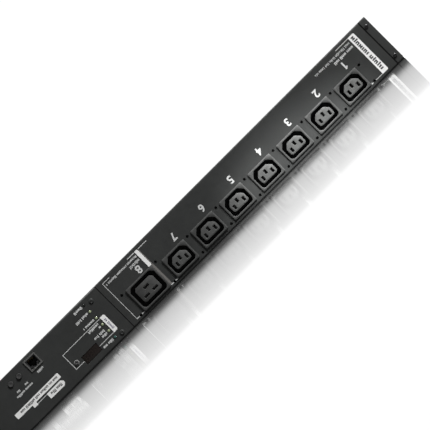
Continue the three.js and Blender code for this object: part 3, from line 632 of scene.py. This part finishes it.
# An arm is half the length of the cross recess.
CAP_SCREW = {"profile": pan_head(2.3, 1.1, 1.3, 6.0), "arm": 1.43, "depth": 0.88, "material": "screw_black"}
COVER_SCREW = {"profile": pan_head(2.9, 0.8, 1.4, 7.0), "arm": 1.8, "depth": 0.64, "material": "screw_paint"}
COUNTERSUNK = {
    "profile": [(1.0, 9.9), (1.4, 9.4), (1.4, 1.7), (3.04, 0.2), (2.96, 0.1)],
    "arm": 1.7,
    "depth": 1.3,
    "material": "screw_black",
}
CROSS_WIDTH = 0.36  # half the width of the arms


def crossed(name, kind, tilt):
    """A screw's mesh about the y axis, head forwards, with a tapered cross recess turned by tilt."""
    build = Build()
    build.turned(kind["profile"])
    face = kind["profile"][-1][1]
    cutter = Build()
    for length, width in ((kind["arm"], CROSS_WIDTH), (CROSS_WIDTH, kind["arm"])):
        cutter.stack(
            [
                (outline(2 * length + 0.2, 2 * width, (0.1,) * 4), face - 1),
                (outline(2 * length, 2 * width, (0.1,) * 4), face),
                (outline(length * 1.2, width * 1.2, (0.08,) * 4), face + kind["depth"]),
            ]
        )
    for bm in (build.bm, cutter.bm):
        bmesh.ops.recalc_face_normals(bm, faces=bm.faces)
    bmesh.ops.rotate(cutter.bm, matrix=Matrix.Rotation(tilt, 3, "Y"), verts=cutter.bm.verts)
    head, tool = as_object(name + "_head", build.bm), as_object(name + "_tool", cutter.bm)
    cut = head.modifiers.new("cut", "BOOLEAN")
    cut.object = tool
    cut.solver = "EXACT"
    cut.use_self = True
    mesh = applied(head)
    for obj in (head, tool):
        bpy.data.objects.remove(obj)
    return mesh


def screw_piece(name, kind, lengthwise=False):
    """Replaces a CAD screw with one whose head faces -y, or -x if lengthwise, and is turned at random."""
    low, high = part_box(name)
    mesh = crossed(name, kind, random.uniform(0, 1.5))
    bm = bmesh.new()
    bm.from_mesh(mesh)
    bpy.data.meshes.remove(mesh)
    target = (low + high) / 2 / MM
    axis = 0 if lengthwise else 1
    target[axis] = low[axis] / MM - kind["profile"][-1][1]
    if lengthwise:
        bmesh.ops.rotate(bm, matrix=Matrix.Rotation(-math.pi / 2, 3, "Z"), verts=bm.verts)
    bmesh.ops.translate(bm, vec=target, verts=bm.verts)
    piece = add_piece(name + "_head", bm, kind["material"])
    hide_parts(name)


random.seed(7)
for which in ("lower", "upper"):
    for end in ("plain", "inlet"):
        screw_piece(f"cap_screw_{end}_{which}", CAP_SCREW)
    screw_piece(f"cover_screw_{which}", COVER_SCREW)
for which in ("lower", "upper"):
    screw_piece(f"inlet_screw_{which}", COUNTERSUNK, lengthwise=True)


# ---------------------------------------------------------------- lamps, buttons, display
def dome(radius, rise, steps=6):
    """The (radius, depth) pairs of a shallow dome in front of the cover's face."""
    angles = [math.pi / 2 * step / steps for step in range(1, steps + 1)]
    return [(max(radius * math.cos(angle), 0.06), -rise * math.sin(angle)) for angle in angles]


def lamp_piece(name):
    """A light pipe with a domed end, a little thicker where it fills its hole in the cover."""
    build = Build()
    profile = [(1.4, 12.5), (1.4, 2.0), (1.5, 1.9), (1.5, 0.0), *dome(1.5, 0.7)]
    build.turned(layers_at(profile), centre_of(name))
    piece = add_piece(name + "_lens", build.bm, SLOTS[name])
    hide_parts(name)


for number in range(1, 7):
    lamp_piece(f"led_{number}")


BUTTON_FRONT = -1.1  # depth of a button's rim at rest


def button_piece(name, radius, dish):
    """A push button: soft rim, slightly dished face, and the collar and stem behind the cover."""
    build = Build()
    profile = [
        (1.3, 9.5),
        (1.3, 2.5),
        (radius + 0.9, 2.5),
        (radius + 0.9, 1.55),
        (radius, 1.5),
        (radius, BUTTON_FRONT + 0.45),
        (radius - 0.06, BUTTON_FRONT + 0.2),
        (radius - 0.2, BUTTON_FRONT + 0.05),
        (radius - 0.42, BUTTON_FRONT),
        (radius * 0.72, BUTTON_FRONT + 0.03),
        (radius * 0.55, BUTTON_FRONT + dish * 0.55),
        (radius * 0.3, BUTTON_FRONT + dish * 0.92),
        (0.1, BUTTON_FRONT + dish),
    ]
    build.turned(layers_at(profile), centre_of(name), 48)
    piece = add_piece(name + "_cap", build.bm, "button_plastic", body=name)
    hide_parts(name)


def button_collar():
    """The light moulded ring on the cover round the function button."""
    build = Build()
    profile = [(2.45, 0.0), (2.45, -0.22), (2.6, -0.34), (2.8, -0.3), (2.98, -0.02)]
    layers = layers_at([(circle(radius, 40), depth) for radius, depth in profile])
    loops = build.stack(layers, centre_of("function_button"), closed=False)
    build.bridge([loops[-1], loops[0]])
    add_piece("function_button_collar", build.bm, "collar_grey")


button_collar()
button_piece("function_button", radius=2.2, dish=0.42)
button_piece("power_button", radius=3.3, dish=0.3)
button_piece("reset_button", radius=3.3, dish=0.3)


WINDOW = (23.4, 10.5)
WINDOW_DEPTH = 0.25  # how far the window's face is behind the cover's
FLANGE = 3.2  # how much wider the window is behind the cover
BAR = 0.85
FIGURE_HALF = (1.9, 3.5)  # from the middle of a figure to the middles of its outer bars
FIGURE_PITCH = 6.9
FIGURE_LEAN = math.tan(math.radians(8))
FIGURE_DEPTHS = (0.3, 0.235)


def display_window():
    """Replaces the window with one that has rounded edges."""
    width, height = WINDOW
    build = Build()
    layers = [
        (outline(width + FLANGE, height + FLANGE, (1.0,) * 4), 2.3),
        (outline(width + FLANGE, height + FLANGE, (1.0,) * 4), 1.52),
        (outline(width, height, (0.6,) * 4), 1.5),
        (outline(width, height, (0.6,) * 4), WINDOW_DEPTH + 0.25),
        (outline(width - 0.2, height - 0.2, (0.55,) * 4), WINDOW_DEPTH + 0.05),
        (outline(width - 0.6, height - 0.6, (0.4,) * 4), WINDOW_DEPTH),
    ]
    build.stack(layers_at(layers), centre_of("display_window"))
    window = add_piece("display_window_lens", build.bm, "smoked_window")
    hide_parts("display_window")


def display_figures():
    """Three unlit figures of seven leaning bars, each with its point, that just show in the window."""
    at = centre_of("display_window")
    half_width, half_height = FIGURE_HALF
    across = outline(2 * half_width - 0.5, BAR, (0.4,) * 4, (0, 0, 0, 0), 1)
    upright = outline(BAR, half_height - 0.5, (0.4,) * 4, (0, 0, 0, 0), 1)
    bars = [(0, level * half_height, across) for level in (-1, 0, 1)]
    for side in (-1, 1):
        bars += [(side * half_width, level * half_height / 2, upright) for level in (-1, 1)]
    figures = Build()
    for digit in (-1, 0, 1):
        middle = at[0] + digit * FIGURE_PITCH
        for x, z, shape in bars:
            leaning = [Vector((p.x + FIGURE_LEAN * (z + p.y), p.y)) for p in shape]
            figures.stack(layers_at([(leaning, depth) for depth in FIGURE_DEPTHS]), (middle + x, at[1] + z))
        point = (middle - half_width - 1.1, at[1] + half_height)
        figures.stack(layers_at([(circle(0.45, 16), depth) for depth in FIGURE_DEPTHS]), point)
    add_piece("display_figures", figures.bm, "segment")


display_window()
display_figures()


# ---------------------------------------------------------------- network jack
CONTACT_PATH = [(1.0, -0.3), (2.2, -0.35), (4.0, -1.1), (6.5, -2.2), (9.0, -3.0), (11.6, -3.2)]
CONTACT_SECTION = ((-0.18, -0.12), (0.18, -0.12), (0.18, 0.12), (-0.18, 0.12))
CONTACT_PITCH = 1.02
JACK_ROOF = 4.6  # from the middle of the jack


def jack_contacts():
    """Eight gold spring contacts that slope down from the jack's roof."""
    middle_x, middle_z = centre_of("lan_jack_insert")
    contacts = Build()
    for index in range(8):
        x = middle_x + (index - 3.5) * CONTACT_PITCH
        section = [Vector((x + side, level)) for side, level in CONTACT_SECTION]
        path = [(depth, middle_z + JACK_ROOF + drop) for depth, drop in CONTACT_PATH]
        rings = [contacts.loop(section, FACE_MM + depth, (0, z)) for depth, z in path]
        contacts.bridge(rings)
        contacts.bm.faces.new(rings[0])
        contacts.bm.faces.new(rings[-1])
    add_piece("lan_contacts", contacts.bm, "gold_contact")


def jack_lamps():
    """A small lamp window each side of the latch notch."""
    middle_x, middle_z = centre_of("lan_jack_insert")
    windows = Build()
    z = middle_z - 4.9
    for x in (middle_x - 5.4, middle_x + 5.4):
        windows.tile((x - 1.5, x + 1.5), (z - 0.9, z + 0.9), (FACE_MM - 0.12, FACE_MM + 0.1), (0.3,) * 4)
    add_piece("lan_lamp_windows", windows.bm, "lamp_off")


jack_contacts()
jack_lamps()


# ---------------------------------------------------------------- painted seam shade
def seam_gaskets():
    """Thin black strips in the joints between the two covers, and between a cover and the plain cap: painted
    shade of the gaps there.
    """
    build = Build()
    cap_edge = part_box("end_cap_plain")[0].x / MM
    cover_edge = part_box("control_cover")[1].x / MM
    for start, end in ((cap_edge - 1.2, cap_edge + 0.4), (cover_edge - 0.1, cover_edge + 0.9)):
        build.tile((start, end), (1.0, HEIGHT_MM - 1.0), (FACE_MM - 0.02, FACE_MM + 0.4))
    add_piece("seam_gaskets", build.bm, "seal_rubber")


seam_gaskets()


# ---------------------------------------------------------------- labels and printing
# Places along the strip are millimetres from its plain end, and heights are from its lower edge.
# INK, LABEL and LABEL_INK are ranges of y, the front first. Each is just clear of what it lies on.
LABEL_THICKNESS = 0.14
INK = (FACE_MM - 0.05, FACE_MM - 0.01)
LABEL = (FACE_MM - LABEL_THICKNESS, FACE_MM - 0.01)
LABEL_INK = (FACE_MM - LABEL_THICKNESS - 0.04, FACE_MM - LABEL_THICKNESS - 0.005)


def span(near, far):
    """The x range between two distances from the plain end."""
    return END_MM - far, END_MM - near


CROSSING_LIFT = 0.008


def rule(build, distances, heights, depths=INK):
    """A printed line or block between two distances from the plain end and two heights.

    Upright ones stand a little thicker, so that where two cross their faces don't coincide.
    """
    upright = heights[1] - heights[0] > distances[1] - distances[0]
    front = depths[0] - (CROSSING_LIFT if upright else 0.0)
    build.tile(span(*distances), heights, (front, depths[1]), (0.12,) * 4, steps=2)


def dummy_text(build, distances, level, height, depths=INK, seed=1, weight=0.24):
    """Stand-in lettering: words of small unreadable marks along a line, or up it if level is a range."""
    random.seed(seed)
    upright = isinstance(level, tuple)
    start, end = level if upright else distances
    middle = sum(distances) / 2 if upright else level
    stroke = height * weight

    def mark(near, far, low, high):
        run, rise = (near, far), (middle + low, middle + high)
        if upright:
            rule(build, rise, run, depths)
        else:
            rule(build, run, rise, depths)

    place = start
    while place < end - height * 0.5:
        for _ in range(random.randint(3, 7)):
            bars = random.choice(((0, 1), (0, 1), (0,)))
            wide = height * random.uniform(0.34, 0.4) + stroke * 1.3 * (len(bars) - 1)
            foot = height / 2
            top = -height * random.choice((0.22, 0.22, 0.5))
            joint = random.choice((top, foot - stroke, (top + foot - stroke) / 2))
            if place + wide > end:
                break
            for bar in bars:
                near = place + (wide - stroke) * bar
                mark(near, near + stroke, top, foot)
            mark(place, place + wide, joint, joint + stroke)
            place += wide + height * 0.15
        place += height * 0.4


def plain_end_label():
    """The upright label by the plain end, and the printing between it and the first sockets."""
    label = Build()
    label.tile(span(21.6, 30.5), (4.3, 61.7), LABEL, (1.7, 1.7, 0.1, 0.1), steps=6)
    add_piece("socket_group_label", label.bm, "label")
    text = Build()
    dummy_text(text, (22.6, 28.6), (9.0, 60.0), 5.4, LABEL_INK, 11, 0.3)
    add_piece("socket_group_label_text", text.bm, "print_dark")

    lines = Build()
    rule(lines, (30.4, 50.5), (60.8, 61.6))
    rule(lines, (30.4, 41.0), (4.5, 5.1))
    rule(lines, (45.6, 48.0), (4.4, 5.4))
    dummy_text(lines, (33.0, 90.0), 56.5, 3.0, seed=3, weight=0.17)
    dummy_text(lines, (33.0, 66.5), 50.8, 3.4, seed=4, weight=0.3)
    add_piece("socket_group_print", lines.bm, "print_white")


def large_socket_print():
    """The white label, the frame of lines round the large socket, a grey band below the label, and a grey
    line along the label's side that is painted shade of its edge.
    """
    band = Build()
    band.tile(span(371.0, 375.4), (37.4, 61.5), LABEL, (0.9, 0.9, 0.3, 0.3), steps=4)
    add_piece("large_socket_label", band.bm, "label")
    lines = Build()
    rule(lines, (376.0, 387.0), (60.5, 61.5))
    rule(lines, (356.5, 369.8), (60.6, 61.4))
    rule(lines, (426.6, 427.2), (4.5, 61.3))
    rule(lines, (416.0, 426.9), (60.7, 61.3))
    rule(lines, (422.6, 426.9), (4.5, 5.5))
    rule(lines, (414.6, 418.9), (4.5, 5.5))
    rule(lines, (367.9, 371.6), (4.4, 5.5))
    rule(lines, (360.6, 364.4), (4.4, 5.5))
    dummy_text(lines, (377.0, 425.0), 56.6, 3.0, seed=5)
    dummy_text(lines, (377.5, 393.0), 51.4, 3.3, seed=6)
    add_piece("large_socket_print", lines.bm, "print_white")
    # A flat grey band below the label, and a thin grey line along its side: painted shade of the label's
    # edge.
    shade = Build()
    rule(shade, (369.5, 372.0), (5.6, 37.3))
    rule(shade, (369.8, 370.9), (38.0, 60.0))
    add_piece("large_socket_band", shade.bm, "grey_band_and_edge_shade")


def control_print():
    """The display's upright label, its frame of lines, and the rows of small print by it."""
    tag = Build()
    tag.tile(span(450.0, 456.2), (12.6, 36.1), LABEL, (2.0, 2.0, 0.2, 0.2), steps=5)
    add_piece("readout_label", tag.bm, "label")
    text = Build()
    dummy_text(text, (451.3, 454.7), (16.6, 32.6), 3.0, LABEL_INK, 21)
    add_piece("readout_label_text", text.bm, "print_violet")
    lines = Build()
    rule(lines, (456.2, 517.0), (35.0, 35.7))
    rule(lines, (456.2, 479.4), (12.8, 13.5))
    rule(lines, (503.8, 517.0), (12.8, 13.5))
    rule(lines, (516.3, 517.0), (12.8, 35.7))
    row_ends = {59.1: 475, 49.2: 482, 38.9: 481, 32.3: 478, 28.0: 466, 22.3: 480.5, 17.9: 470.5, 8.0: 478}
    for seed, (level, end) in enumerate(row_ends.items(), 21):
        dummy_text(lines, (462.6, end), level, 3.2, seed=seed, weight=0.34)
    add_piece("control_print", lines.bm, "print_white")


def far_print():
    """The long label near the inlet, the one below it, and the words by the jack and buttons."""
    long_label = Build()
    long_label.tile(span(535.1, 604.0), (19.4, 26.1), LABEL, (0.9, 0.9, 0.9, 0.9), steps=4)
    long_label.tile(span(575.5, 581.5), (15.6, 19.4), LABEL, (0.6, 0.1, 0.1, 0.6), steps=3)
    add_piece("mains_label", long_label.bm, "label")
    short_label = Build()
    short_label.tile(span(536.2, 560.6), (9.8, 17.4), LABEL, (2.6, 2.6, 0.4, 0.4), (0, 0, 1, 1), steps=3)
    add_piece("jack_label", short_label.bm, "label")
    text = Build()
    dummy_text(text, (538.5, 600.0), 22.8, 3.2, LABEL_INK, 31)
    dummy_text(text, (540.0, 558.5), 13.6, 3.4, LABEL_INK, 32)
    add_piece("far_label_text", text.bm, "print_dark")
    lines = Build()
    rule(lines, (561.0, 575.5), (16.3, 17.1))
    dummy_text(lines, (541.5, 550.5), 42.2, 2.8, seed=33, weight=0.3)
    dummy_text(lines, (566.3, 571.3), 42.0, 2.6, seed=34, weight=0.3)
    dummy_text(lines, (579.0, 584.5), 42.0, 2.6, seed=35, weight=0.3)
    dummy_text(lines, (563.0, 588.0), 37.5, 2.7, seed=36, weight=0.3)
    add_piece("far_print", lines.bm, "print_white")


plain_end_label()
large_socket_print()
control_print()
far_print()


# The outline of a 1 with a flag, upright, in units of its height.
FLAGGED_ONE = ((-0.1, 0), (0.1, 0), (0.1, 1), (-0.04, 1), (-0.29, 0.78), (-0.2, 0.66), (-0.1, 0.74))


def numeral_face(digit):
    """A flat figure in the xy plane, at any size."""
    bm = bmesh.new()
    if digit == 1:
        bm.faces.new([bm.verts.new((*point, 0)) for point in FLAGGED_ONE])
        return bm
    curve = bpy.data.curves.new(f"numeral_{digit}", "FONT")
    curve.body = str(digit)
    curve.size = 1
    curve.offset = 0.025
    source = bpy.data.objects.new(f"numeral_{digit}_source", curve)
    bpy.context.scene.collection.objects.link(source)
    mesh = applied(source)
    bm.from_mesh(mesh)
    bpy.data.meshes.remove(mesh)
    bpy.data.objects.remove(source)
    bmesh.ops.dissolve_limit(bm, angle_limit=0.02, verts=bm.verts, edges=bm.edges)
    return bm


def numeral(digit, x, z, height):
    """A printed socket number. It reads from the other long edge, so it is upside down here."""
    bm = numeral_face(digit)
    low = Vector([min(vert.co[axis] for vert in bm.verts) for axis in range(3)])
    high = Vector([max(vert.co[axis] for vert in bm.verts) for axis in range(3)])
    size = height / (high.y - low.y)
    bmesh.ops.translate(bm, vec=-(low + high) / 2, verts=bm.verts)
    bmesh.ops.scale(bm, vec=(size, size, 1), verts=bm.verts)
    bmesh.ops.rotate(bm, matrix=Matrix(((-1, 0, 0), (0, 0, -1), (0, -1, 0))), verts=bm.verts)
    bmesh.ops.translate(bm, vec=(x, INK[0], z), verts=bm.verts)
    front = bmesh.ops.extrude_face_region(bm, geom=bm.faces[:])
    moved = [item for item in front["geom"] if isinstance(item, bmesh.types.BMVert)]
    bmesh.ops.translate(bm, vec=(0, INK[1] - INK[0], 0), verts=moved)
    add_piece(f"numeral_{digit}", bm, "print_white")


for number in range(1, 8):
    numeral(number, centre_of(f"outlet_{number}")[0] + 11.4, z=42.2, height=9.7)
numeral(8, centre_of("outlet_8")[0] + 7.7, z=43.7, height=9.9)


# ---------------------------------------------------------------- floor, background and light
# Distances are in metres.
FLOOR_SIZE = 12.0
FLOOR_DROP = 0.03 * MM  # how far the floor is below the strip
FLOOR_COLOR = 0.93
FLOOR_BOUNCE = 0.1  # what the floor throws back up, low so that the shadows on the strip stay dark
WHITE = 1.02  # how bright the plain background is
SWEEP = (0.36, 0.6)  # from here to here the floor turns into a plain white sweep
POLISH_REACH = 2.6  # how far in front of the strip the floor is polished
POLISH_SIDES = (0.5, 0.36)  # distances to each side over which the polish sets in
POLISH_BACK = (0.02, 0.0)  # distances behind the strip's middle over which it sets in
GRAZING = (0.93, 0.97)  # it only mirrors what is seen at a very flat angle
POLISH_ROUGHNESS = 0.03
# How polished the floor is at parts of the way from the strip's middle to the reach.
POLISH = (
    (0.0, 0.99),
    (0.11, 0.985),
    (0.25, 0.945),
    (0.33, 0.87),
    (0.41, 0.72),
    (0.5, 0.53),
    (0.58, 0.44),
    (0.8, 0.33),
    (0.9, 0.26),
    (0.96, 0.17),
    (1.0, 0.0),
)
# As a light, the sky turns from dark in front of the strip to pale above and behind it. A turn and a cone
# are cosines of angles from an axis.
SKY_DARK = 0.06
SKY_PALE = 0.85
SKY_AXIS = (0, 0.8, 0.6)
SKY_TURN = (-0.4, 0.5)
WHITE_CONE = (0.98, 0.99)  # round +y, so that the floor mirrors plain white beyond the strip


def grey(value):
    return (value, value, value, 1)


def floor_material():
    """Pale and matt round the strip, a white sweep further off, and a polish in front that mirrors it."""
    s = Surface("floor")
    s.tree.nodes.remove(s.shader)
    matt = s.node("ShaderNodeBsdfDiffuse")
    matt.inputs["Color"].default_value = grey(FLOOR_COLOR)
    sweep = s.node("ShaderNodeEmission")
    sweep.inputs["Strength"].default_value = WHITE
    gloss = s.node("ShaderNodeBsdfGlossy")
    gloss.inputs["Color"].default_value = grey(1.0)
    gloss.inputs["Roughness"].default_value = POLISH_ROUGHNESS
    dim = s.node("ShaderNodeBsdfDiffuse")
    dim.inputs["Color"].default_value = grey(FLOOR_BOUNCE)

    def blended(factor, first, second):
        mix = s.node("ShaderNodeMixShader")
        for socket, source in zip(mix.inputs, (factor, first.outputs[0], second.outputs[0])):
            s.link(source, socket)
        return mix

    radius = s.node("ShaderNodeVectorMath", operation="LENGTH")
    s.link(s.place, radius.inputs[0])
    pale = blended(s.spread(radius.outputs["Value"], 0, 1, *SWEEP), matt, sweep)

    ramp = s.node("ShaderNodeValToRGB")
    stops = ramp.color_ramp.elements
    while len(stops) < len(POLISH):
        stops.new(0.5)
    for stop, (position, polish) in zip(stops, POLISH):
        stop.position = position
        stop.color = grey(polish)
    depth = s.axis("Y")
    s.link(s.spread(depth, 0, 1, 0, -POLISH_REACH), ramp.inputs[0])
    side = s.node("ShaderNodeMath", operation="ABSOLUTE")
    s.link(s.axis("X"), side.inputs[0])
    polished = s.times(ramp.outputs[0], s.spread(side.outputs[0], 0, 1, *POLISH_SIDES))
    polished = s.times(polished, s.spread(depth, 0, 1, *POLISH_BACK))
    flat = s.node("ShaderNodeLayerWeight")
    polished = s.times(polished, s.spread(flat.outputs["Facing"], 0, 1, *GRAZING))
    ray = s.node("ShaderNodeLightPath")
    seen = blended(ray.outputs["Is Camera Ray"], dim, blended(polished, pale, gloss))
    s.link(seen.outputs[0], s.tree.nodes["Material Output"].inputs[0])
    return s.material


def make_floor():
    bm = bmesh.new()
    bmesh.ops.create_grid(bm, x_segments=8, y_segments=8, size=FLOOR_SIZE)
    floor = as_object("floor", bm)
    floor.data.materials.append(floor_material())
    floor.location.z = -FLOOR_DROP


def make_sky():
    """A pale studio: plain white to the eye, and uneven as a light."""
    world = bpy.data.worlds.new("world")
    world.use_nodes = True
    tree = world.node_tree
    seen = tree.nodes["Background"]
    seen.inputs["Color"].default_value = (1, 1, 1, 1)
    seen.inputs["Strength"].default_value = WHITE
    lighting = tree.nodes.new("ShaderNodeBackground")
    direction = tree.nodes.new("ShaderNodeTexCoord")

    def toward(axis, cosines, low, high):
        """Runs from low to high as a ray turns towards an axis, between two cosines."""
        cosine = tree.nodes.new("ShaderNodeVectorMath")
        cosine.operation = "DOT_PRODUCT"
        cosine.inputs[1].default_value = axis
        tree.links.new(direction.outputs["Generated"], cosine.inputs[0])
        level = tree.nodes.new("ShaderNodeMapRange")
        level.interpolation_type = "SMOOTHSTEP"
        limits = {"From Min": cosines[0], "From Max": cosines[1], "To Min": low, "To Max": high}
        for socket, number in limits.items():
            level.inputs[socket].default_value = number
        tree.links.new(cosine.outputs["Value"], level.inputs["Value"])
        return level.outputs[0]

    tree.links.new(toward(SKY_AXIS, SKY_TURN, SKY_DARK, SKY_PALE), lighting.inputs["Strength"])
    ray = tree.nodes.new("ShaderNodeLightPath")
    white = tree.nodes.new("ShaderNodeMath")
    white.operation = "MAXIMUM"
    tree.links.new(ray.outputs["Is Camera Ray"], white.inputs[0])
    tree.links.new(toward((0, 1, 0), WHITE_CONE, 0, 1), white.inputs[1])
    mix = tree.nodes.new("ShaderNodeMixShader")
    tree.links.new(white.outputs[0], mix.inputs[0])
    tree.links.new(lighting.outputs[0], mix.inputs[1])
    tree.links.new(seen.outputs[0], mix.inputs[2])
    tree.links.new(mix.outputs[0], tree.nodes["World Output"].inputs["Surface"])
    bpy.context.scene.world = world


def aimed(name, data, location, target, flatness=1.0, lean=0.0):
    """Puts a light in place with its own x axis along the strip, tipped by lean degrees.

    A flatness below 1 narrows its beam across the strip.
    """
    light = bpy.data.objects.new(name, data)
    bpy.context.scene.collection.objects.link(light)
    back = (Vector(location) - Vector(target)).normalized()
    tip = math.radians(lean)
    up = back.cross(Vector((math.cos(tip), 0, -math.sin(tip)))).normalized()
    turn = Matrix((up.cross(back), up, back)).transposed().to_4x4()
    light.matrix_world = Matrix.Translation(location) @ turn @ Matrix.Diagonal((1, flatness, 1, 1))


def soft_light(name, location, target, size, power):
    """A square panel that lights the whole strip."""
    data = bpy.data.lights.new(name, "AREA")
    data.shape = "SQUARE"
    data.size = size
    data.energy = power
    aimed(name, data, location, target)


def spot_light(name, location, target, cone, blend, radius, power, flatness, lean):
    """A narrow oval pool of light. The cone is in degrees, and the blend is how soft its edge is."""
    data = bpy.data.lights.new(name, "SPOT")
    data.spot_size = math.radians(cone)
    data.spot_blend = blend
    data.shadow_soft_size = radius
    data.energy = power
    aimed(name, data, location, target, flatness, lean)


make_floor()
make_sky()
bpy.context.scene.view_settings.view_transform = "Standard"
soft_light("upper_right", location=(2.0, -1.0, 2.0), target=(0, 0, 0.03), size=0.6, power=190)
spot_light(
    "key",
    location=(0.669, FACE - 0.5, 0.67),
    target=(0.169, FACE, 0.008),
    cone=14.2,
    blend=0.75,
    radius=0.015,
    power=155,
    flatness=0.22,
    lean=9.0,
)
